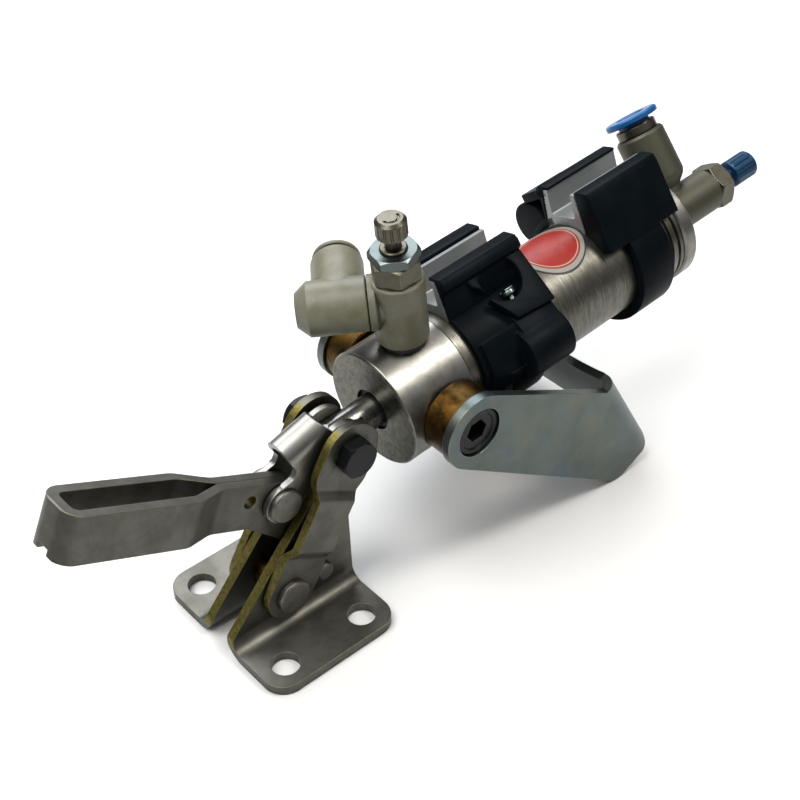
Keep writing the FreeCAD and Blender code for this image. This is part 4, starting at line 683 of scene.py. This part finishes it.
class CLAMP_OT_rear_valve(bpy.types.Operator):
    """Finish the rear flow control"""
    bl_idname = "clamp.rear_valve"
    bl_label = "Rear flow control"

    def execute(self, context):
        dress(("rear_valve_body",), die_cast_zinc)
        dress(("rear_valve_bolt", "rear_port_collar"), nickel_plated_brass)
        dress(("rear_valve_ring", "rear_grip_ring"), bright_zinc_steel)
        dress(("rear_valve_knob",), anodised_blue_knob)
        dress(("rear_release_ring",), moulded_blue_plastic)
        dress(("rear_valve_seal",), moulded_rubber)
        return {"FINISHED"}


# Sensor brackets, drawn in millimetres: X runs along the barrel from the bracket's middle, the origin lies
# on the barrel's axis and Z goes up through the middle of the rail

BRACKET_HALF = 14.0
RAIL_TURN = math.radians(17.0)
# Inner radius of the bands, just off the barrel, and outer radii of the strap under it, of the wing, of the
# wing's step and of the band beside the lobe
SEAT_R = 16.27
STRAP_R = 19.2
WING_R = 17.6
STEP_R = 18.7
LOBE_FOOT_R = 18.0
# Where the strap, the step, the lobe and the boss on it lie along the barrel
STRAP_SPAN = (-6.5, 6.5)
STEP_SPAN = (-12.2, BRACKET_HALF)
LOBE_SPAN = (-0.9, 13.9)
BOSS_SPAN = (0.4, 13.7)
# Outlines across the barrel: the rail's two sides, the plate beside it, the bar hooked over it and the boss
RAIL_SIDE = ((-7.75, 14.25), (-6.45, 26.55))
PLATE_SIDE = ((7.75, 14.25), (6.45, 26.55), (6.45, 27.3))
BAND_PLATE = ((7.7, 27.5), (11.5, 27.5), (12.5, 25.6), (17.05, 10.0), (13.2, 9.4))
HOOK_BAR = ((-4.2, 26.6), (-4.2, 27.5), (-8.6, 27.4), (-9.7, 26.4), (-10.3, 24.4), (-8.7, 22.6))
BOSS = ((-14.2, 7.9), (-14.4, 11.2), (-18.0, 8.0), (-20.6, 4.6), (-16.4, 3.0))
# The tongue's thickness, and the middle of its cut-out (along the barrel, down the slope) with its radius
TONGUE_THICK = 2.8
CUT_X, CUT_DOWN, CUT_R = 3.4, 5.6, 6.6
# The cheese head screw: its place along the barrel, down the slope and under it, its head, shank and slot,
# and the nut on it
SCREW_X, SCREW_DOWN, SCREW_UNDER = 4.9, 9.2, 3.6
HEAD_R, HEAD_HEIGHT = 2.4, 1.5
SHANK_R, SHANK_END = 1.1, 15.0
SLOT_HALF, SLOT_DEPTH = 0.35, 0.6
NUT_R, NUT_HEIGHT, NUT_AT = 2.2, 2.2, 14.0
# Edges that turn by more than these angles are rounded, and shaded sharp
ROUND_ABOVE, SHARP_ABOVE = math.radians(32), math.radians(40)


class Bracket(typing.NamedTuple):
    """Where a bracket stands, its tongue's slope, top and reach, its round lobe and its screw's head."""
    at: float
    turned: bool
    slope: float
    hinge: tuple
    lobe: tuple
    reach: float
    screw_head: tuple


BRACKETS = {"front": Bracket(at=40.5, turned=False, slope=53.0, hinge=(-8.1, 24.2), lobe=(-16.0, -1.3, 7.8),
                             reach=18.2, screw_head=None),
            "rear": Bracket(at=93.5, turned=True, slope=20.0, hinge=(-8.1, 26.4), lobe=(-15.7, 13.9, 6.7),
                            reach=9.6, screw_head=(SCREW_X, -17.0, 19.4))}


def bracket_matrix(bracket):
    """Turns a bracket's own millimetres into the scene's metres."""
    spin = Matrix.Rotation(math.pi if bracket.turned else 0.0, 4, "Z")
    along = Matrix.Translation(((HEAD_FACE + bracket.at) * MM, 0.0, 0.0))
    return (Matrix.Translation(KNEE) @ Matrix.Rotation(-CYLINDER_PITCH, 4, "Y") @ along
            @ Matrix.Rotation(-RAIL_TURN, 4, "X") @ spin @ Matrix.Scale(MM, 4))


def add_block(bm, outline, sweep):
    """Adds a closed block: an outline of 3D points swept by a vector."""
    low = [bm.verts.new(point) for point in outline]
    high = [bm.verts.new(Vector(point) + Vector(sweep)) for point in outline]
    faces = [bm.faces.new(low), bm.faces.new(high)]
    for index in range(len(outline)):
        after = (index + 1) % len(outline)
        faces.append(bm.faces.new((low[index], low[after], high[after], high[index])))
    bmesh.ops.recalc_face_normals(bm, faces=faces)


def add_profile(bm, outline, low, high):
    """Adds a block with an outline across the barrel, between two places along it."""
    add_block(bm, [(low, y, z) for y, z in outline], (high - low, 0.0, 0.0))


def seat_points(*degrees):
    """Points of a piece's seat on the barrel."""
    return [(SEAT_R * math.cos(math.radians(a)), SEAT_R * math.sin(math.radians(a))) for a in degrees]


def around_barrel(radius_at, start, stop, steps=36):
    """Outline of a band on the barrel between two angles, with its outer radius given by a function."""
    degrees = [start + (stop - start) * step / steps for step in range(steps + 1)]
    outer = [(radius_at(a) * math.cos(a), radius_at(a) * math.sin(a)) for a in map(math.radians, degrees)]
    return outer + seat_points(*reversed(degrees))


def lobe_radius(lobe, least):
    """Outer radius of a band that swells into a round lobe."""
    y, z, radius = lobe

    def radius_at(angle):
        ahead = y * math.cos(angle) + z * math.sin(angle)
        inside = radius ** 2 - (y ** 2 + z ** 2 - ahead ** 2)
        return max(least, ahead + math.sqrt(inside)) if inside > 0 and ahead > 0 else least
    return radius_at


def moulding(name, bm, matrix, bevel, material, replaced):
    """Makes a piece on the cylinder from blocks in millimetres, with rounded edges."""
    mesh = bpy.data.meshes.new(name)
    bm.to_mesh(mesh)
    bm.free()
    rough = bpy.data.objects.new(name + "_blocks", mesh)
    bpy.context.scene.collection.objects.link(rough)
    rounding = rough.modifiers.new("rounding", "BEVEL")
    rounding.width = bevel
    rounding.segments = 3
    rounding.limit_method = "ANGLE"
    rounding.angle_limit = ROUND_ABOVE
    done = bpy.data.meshes.new_from_object(rough.evaluated_get(bpy.context.evaluated_depsgraph_get()))
    bpy.data.objects.remove(rough)
    done.transform(matrix)
    done.shade_smooth()
    done.set_sharp_from_angle(angle=SHARP_ABOVE)
    done.materials.clear()
    done.materials.append(material)
    piece = bpy.data.objects.new(name, done)
    bpy.context.scene.collection.objects.link(piece)
    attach(piece, "cylinder")
    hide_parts(*replaced)


def slope_point(bracket, x, down, under=0.0):
    """Point on the tongue's sloping face, or under it."""
    slope = math.radians(bracket.slope)
    y, z = bracket.hinge
    return (x, y - down * math.cos(slope) + under * math.sin(slope),
            z - down * math.sin(slope) - under * math.cos(slope))


def band_piece(end, bracket):
    """Plate beside the rail, strap under the barrel, and the wing and round lobe on the clamp side."""
    bm = bmesh.new()
    whole = (-BRACKET_HALF, BRACKET_HALF)
    lobe_at = math.degrees(math.atan2(bracket.lobe[1], bracket.lobe[0])) % 360
    swollen = lobe_radius(bracket.lobe, LOBE_FOOT_R)
    add_profile(bm, [*BAND_PLATE, *seat_points(36, 42, 48, 54, 60), *PLATE_SIDE], *whole)
    add_profile(bm, around_barrel(lambda a: STRAP_R, 190, 393, 60), *STRAP_SPAN)
    add_profile(bm, around_barrel(lambda a: WING_R, 119.5, lobe_at + 20), *whole)
    add_profile(bm, around_barrel(lambda a: STEP_R, lobe_at - 32, lobe_at + 17), *STEP_SPAN)
    add_profile(bm, around_barrel(swollen, lobe_at - 30, lobe_at + 42, 48), *LOBE_SPAN)
    if not bracket.turned:
        add_profile(bm, BOSS, *BOSS_SPAN)
    moulding(f"{end}_band", bm, bracket_matrix(bracket), 0.45, finish(moulded_black_plastic),
             (f"{end}_sensor_band",))


def clamp_piece(end, bracket):
    """Bar hooked over the rail and a sloping tongue, which in front has an open round cut-out."""
    bm = bmesh.new()
    add_profile(bm, [*HOOK_BAR, *seat_points(122.3, 120), *RAIL_SIDE], -BRACKET_HALF, BRACKET_HALF)
    if bracket.turned:
        outline = [(-6.3, -2.2), (-6.3, 3.0), (-2.0, bracket.reach), (BRACKET_HALF, bracket.reach),
                   (BRACKET_HALF, -2.2)]
    else:
        ring = [math.radians(8.5 * step - 190) for step in range(41)]
        cut = [(CUT_X + CUT_R * math.cos(a), CUT_DOWN + CUT_R * math.sin(a)) for a in ring]
        outline = [(-6.3, -2.2), (-6.3, 0.2), (-5.4, 3.6), (-3.6, 5.2), *cut, (-3.0, 9.4), (1.1, 17.2),
                   (14.1, bracket.reach), (BRACKET_HALF, -2.2)]
    thick = Vector(slope_point(bracket, 0, 0, TONGUE_THICK)) - Vector(slope_point(bracket, 0, 0))
    add_block(bm, [slope_point(bracket, x, down) for x, down in outline], thick)
    moulding(f"{end}_clamp", bm, bracket_matrix(bracket), 0.4, finish(moulded_black_plastic),
             (f"{end}_sensor_clamp",))


def screw_piece(end, bracket):
    """Slotted cheese head screw that draws the tongue down to the lobe, with its nut in the lobe."""
    bm = bmesh.new()
    if bracket.screw_head:
        head, down = Vector(bracket.screw_head), Vector((0.0, 0.0, -1.0))
    else:
        head = Vector(slope_point(bracket, SCREW_X, SCREW_DOWN, SCREW_UNDER))
        down = (Vector(slope_point(bracket, 0, 1)) - Vector(slope_point(bracket, 0, 0))).normalized()
    across = Vector((1.0, 0.0, 0.0))
    side = down.cross(across)

    def add_round(low, high, radius, corners):
        turns = [math.tau * step / corners for step in range(corners)]
        rim = [(across * math.cos(a) + side * math.sin(a)) * radius for a in turns]
        add_block(bm, [head + down * low + point for point in rim], down * (high - low))

    add_round(0.0, HEAD_HEIGHT, HEAD_R, 24)
    add_round(HEAD_HEIGHT, SHANK_END, SHANK_R, 24)
    add_round(NUT_AT, NUT_AT + NUT_HEIGHT, NUT_R, 6)
    for way in (-1, 1):
        half_head = ((-2.0, way * SLOT_HALF), (2.0, way * SLOT_HALF), (1.4, way * 1.9), (-1.4, way * 1.9))
        add_block(bm, [head + across * x + side * y for x, y in half_head], down * -SLOT_DEPTH)
    moulding(f"{end}_screw", bm, bracket_matrix(bracket), 0.2, finish(bright_zinc_steel),
             (f"{end}_clamp_screw", f"{end}_clamp_nut"))


class CLAMP_OT_sensor_brackets(bpy.types.Operator):
    """Make and finish the two sensor brackets"""
    bl_idname = "clamp.sensor_brackets"
    bl_label = "Sensor brackets"

    def execute(self, context):
        for end, bracket in BRACKETS.items():
            dress((f"{end}_sensor_rail",), extruded_aluminium)
            band_piece(end, bracket)
            clamp_piece(end, bracket)
            screw_piece(end, bracket)
        return {"FINISHED"}


def area_light(name, place, target, size, power, colour):
    """A rectangular soft light that faces a point."""
    data = bpy.data.lights.new(name, "AREA")
    data.shape = "RECTANGLE"
    data.size, data.size_y = size
    data.energy = power
    data.color = linear(colour)[:3]
    light = bpy.data.objects.new(name, data)
    light.location = place
    light.rotation_mode = "QUATERNION"
    light.rotation_quaternion = (Vector(target) - Vector(place)).to_track_quat("-Z", "Y")
    bpy.context.scene.collection.objects.link(light)


def photo_camera(stage):
    """The camera that sees the clamp as the photograph does."""
    heading, dip, roll = stage.heading, stage.dip, stage.roll
    ahead = Vector((math.cos(heading) * math.cos(dip), math.sin(heading) * math.cos(dip), -math.sin(dip)))
    right = Vector((math.sin(heading), -math.cos(heading), 0.0))
    up = right.cross(ahead)
    across = right * math.cos(roll) + up * math.sin(roll)
    upright = up * math.cos(roll) - right * math.sin(roll)
    data = bpy.data.cameras.new("photo_camera")
    data.sensor_width = 36.0
    data.lens = stage.lens
    data.clip_start, data.clip_end = 0.01, 20.0
    camera = bpy.data.objects.new("photo_camera", data)
    facing = Matrix((across, upright, -ahead)).transposed().to_4x4()
    camera.matrix_world = Matrix.Translation(stage.camera_place) @ facing
    bpy.context.scene.collection.objects.link(camera)
    bpy.context.scene.camera = camera


class CLAMP_OT_stage(bpy.types.Operator):
    """Make the floor, the lights, the room and the camera"""
    bl_idname = "clamp.stage"
    bl_label = "Stage"

    def execute(self, context):
        scene = context.scene
        stage = scene.clamp_stage
        bm = bmesh.new()
        ground = CAD_BOX[0][2] - FLOOR_GAP
        turns = [math.radians(6 * step) for step in range(60)]
        bm.faces.new([bm.verts.new((FLOOR_RADIUS * math.cos(a), FLOOR_RADIUS * math.sin(a), ground))
                      for a in turns])
        mesh = bpy.data.meshes.new("floor")
        bm.to_mesh(mesh)
        bm.free()
        floor = bpy.data.objects.new("floor", mesh)
        scene.collection.objects.link(floor)
        mesh.materials.append(start_material("painted_floor", scene.clamp_finishes.floor, 0.0, 0.85)[0])
        room = bpy.data.worlds.new("room")
        room.use_nodes = True
        tree = room.node_tree
        way = add_node(tree, "ShaderNodeTexCoord")
        split = add_node(tree, "ShaderNodeSeparateXYZ", {0: way.outputs["Generated"]})
        rise = add_node(tree, "ShaderNodeMapRange", {"Value": split.outputs["Z"], "From Max": 0.9})
        shade = layered(tree, linear("#3c3c3d"), (rise.outputs[0], linear("#ffffff")))
        tree.links.new(shade, tree.nodes["Background"].inputs["Color"])
        tree.nodes["Background"].inputs["Strength"].default_value = stage.sky
        scene.world = room
        middle = (0.05, 0.0, 0.05)
        area_light("key", (0.38, -0.33, 0.82), middle, (0.18, 0.3), stage.key_power, "#fffaf4")
        area_light("rim", (0.22, 0.56, 0.62), middle, (0.9, 0.5), stage.rim_power, "#f6f8ff")
        area_light("fill", (-0.3, 0.05, 0.8), middle, (0.6, 0.6), stage.fill_power, "#ffffff")
        scene.view_settings.view_transform = "Standard"
        photo_camera(stage)
        return {"FINISHED"}


PIECES = (CLAMP_OT_base, CLAMP_OT_linkage, CLAMP_OT_arm, CLAMP_OT_cylinder, CLAMP_OT_mounting,
          CLAMP_OT_front_valve, CLAMP_OT_rear_valve, CLAMP_OT_sensor_brackets, CLAMP_OT_stage)
SETTINGS = {"clamp_finishes": ClampFinishes, "clamp_stage": ClampStage}


class CLAMP_PT_sidebar(bpy.types.Panel):
    """Sidebar panel with the clamp's pieces and settings"""
    bl_idname = "CLAMP_PT_sidebar"
    bl_label = "Toggle clamp"
    bl_space_type = "VIEW_3D"
    bl_region_type = "UI"
    bl_category = "Toggle clamp"

    def draw(self, context):
        for piece in PIECES:
            self.layout.operator(piece.bl_idname)
        for name, group in SETTINGS.items():
            box = self.layout.box()
            for field in group.__annotations__:
                box.prop(getattr(context.scene, name), field)


def register():
    for piece in (*SETTINGS.values(), *PIECES, CLAMP_PT_sidebar):
        bpy.utils.register_class(piece)
    for name, group in SETTINGS.items():
        setattr(bpy.types.Scene, name, PointerProperty(type=group))


def unregister():
    for name in SETTINGS:
        delattr(bpy.types.Scene, name)
    for piece in reversed((*SETTINGS.values(), *PIECES, CLAMP_PT_sidebar)):
        bpy.utils.unregister_class(piece)


def main():
    """Registers the add-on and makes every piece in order."""
    register()
    for piece in PIECES:
        group, name = piece.bl_idname.split(".")
        getattr(getattr(bpy.ops, group), name)()


if __name__ == "__main__":
    main()
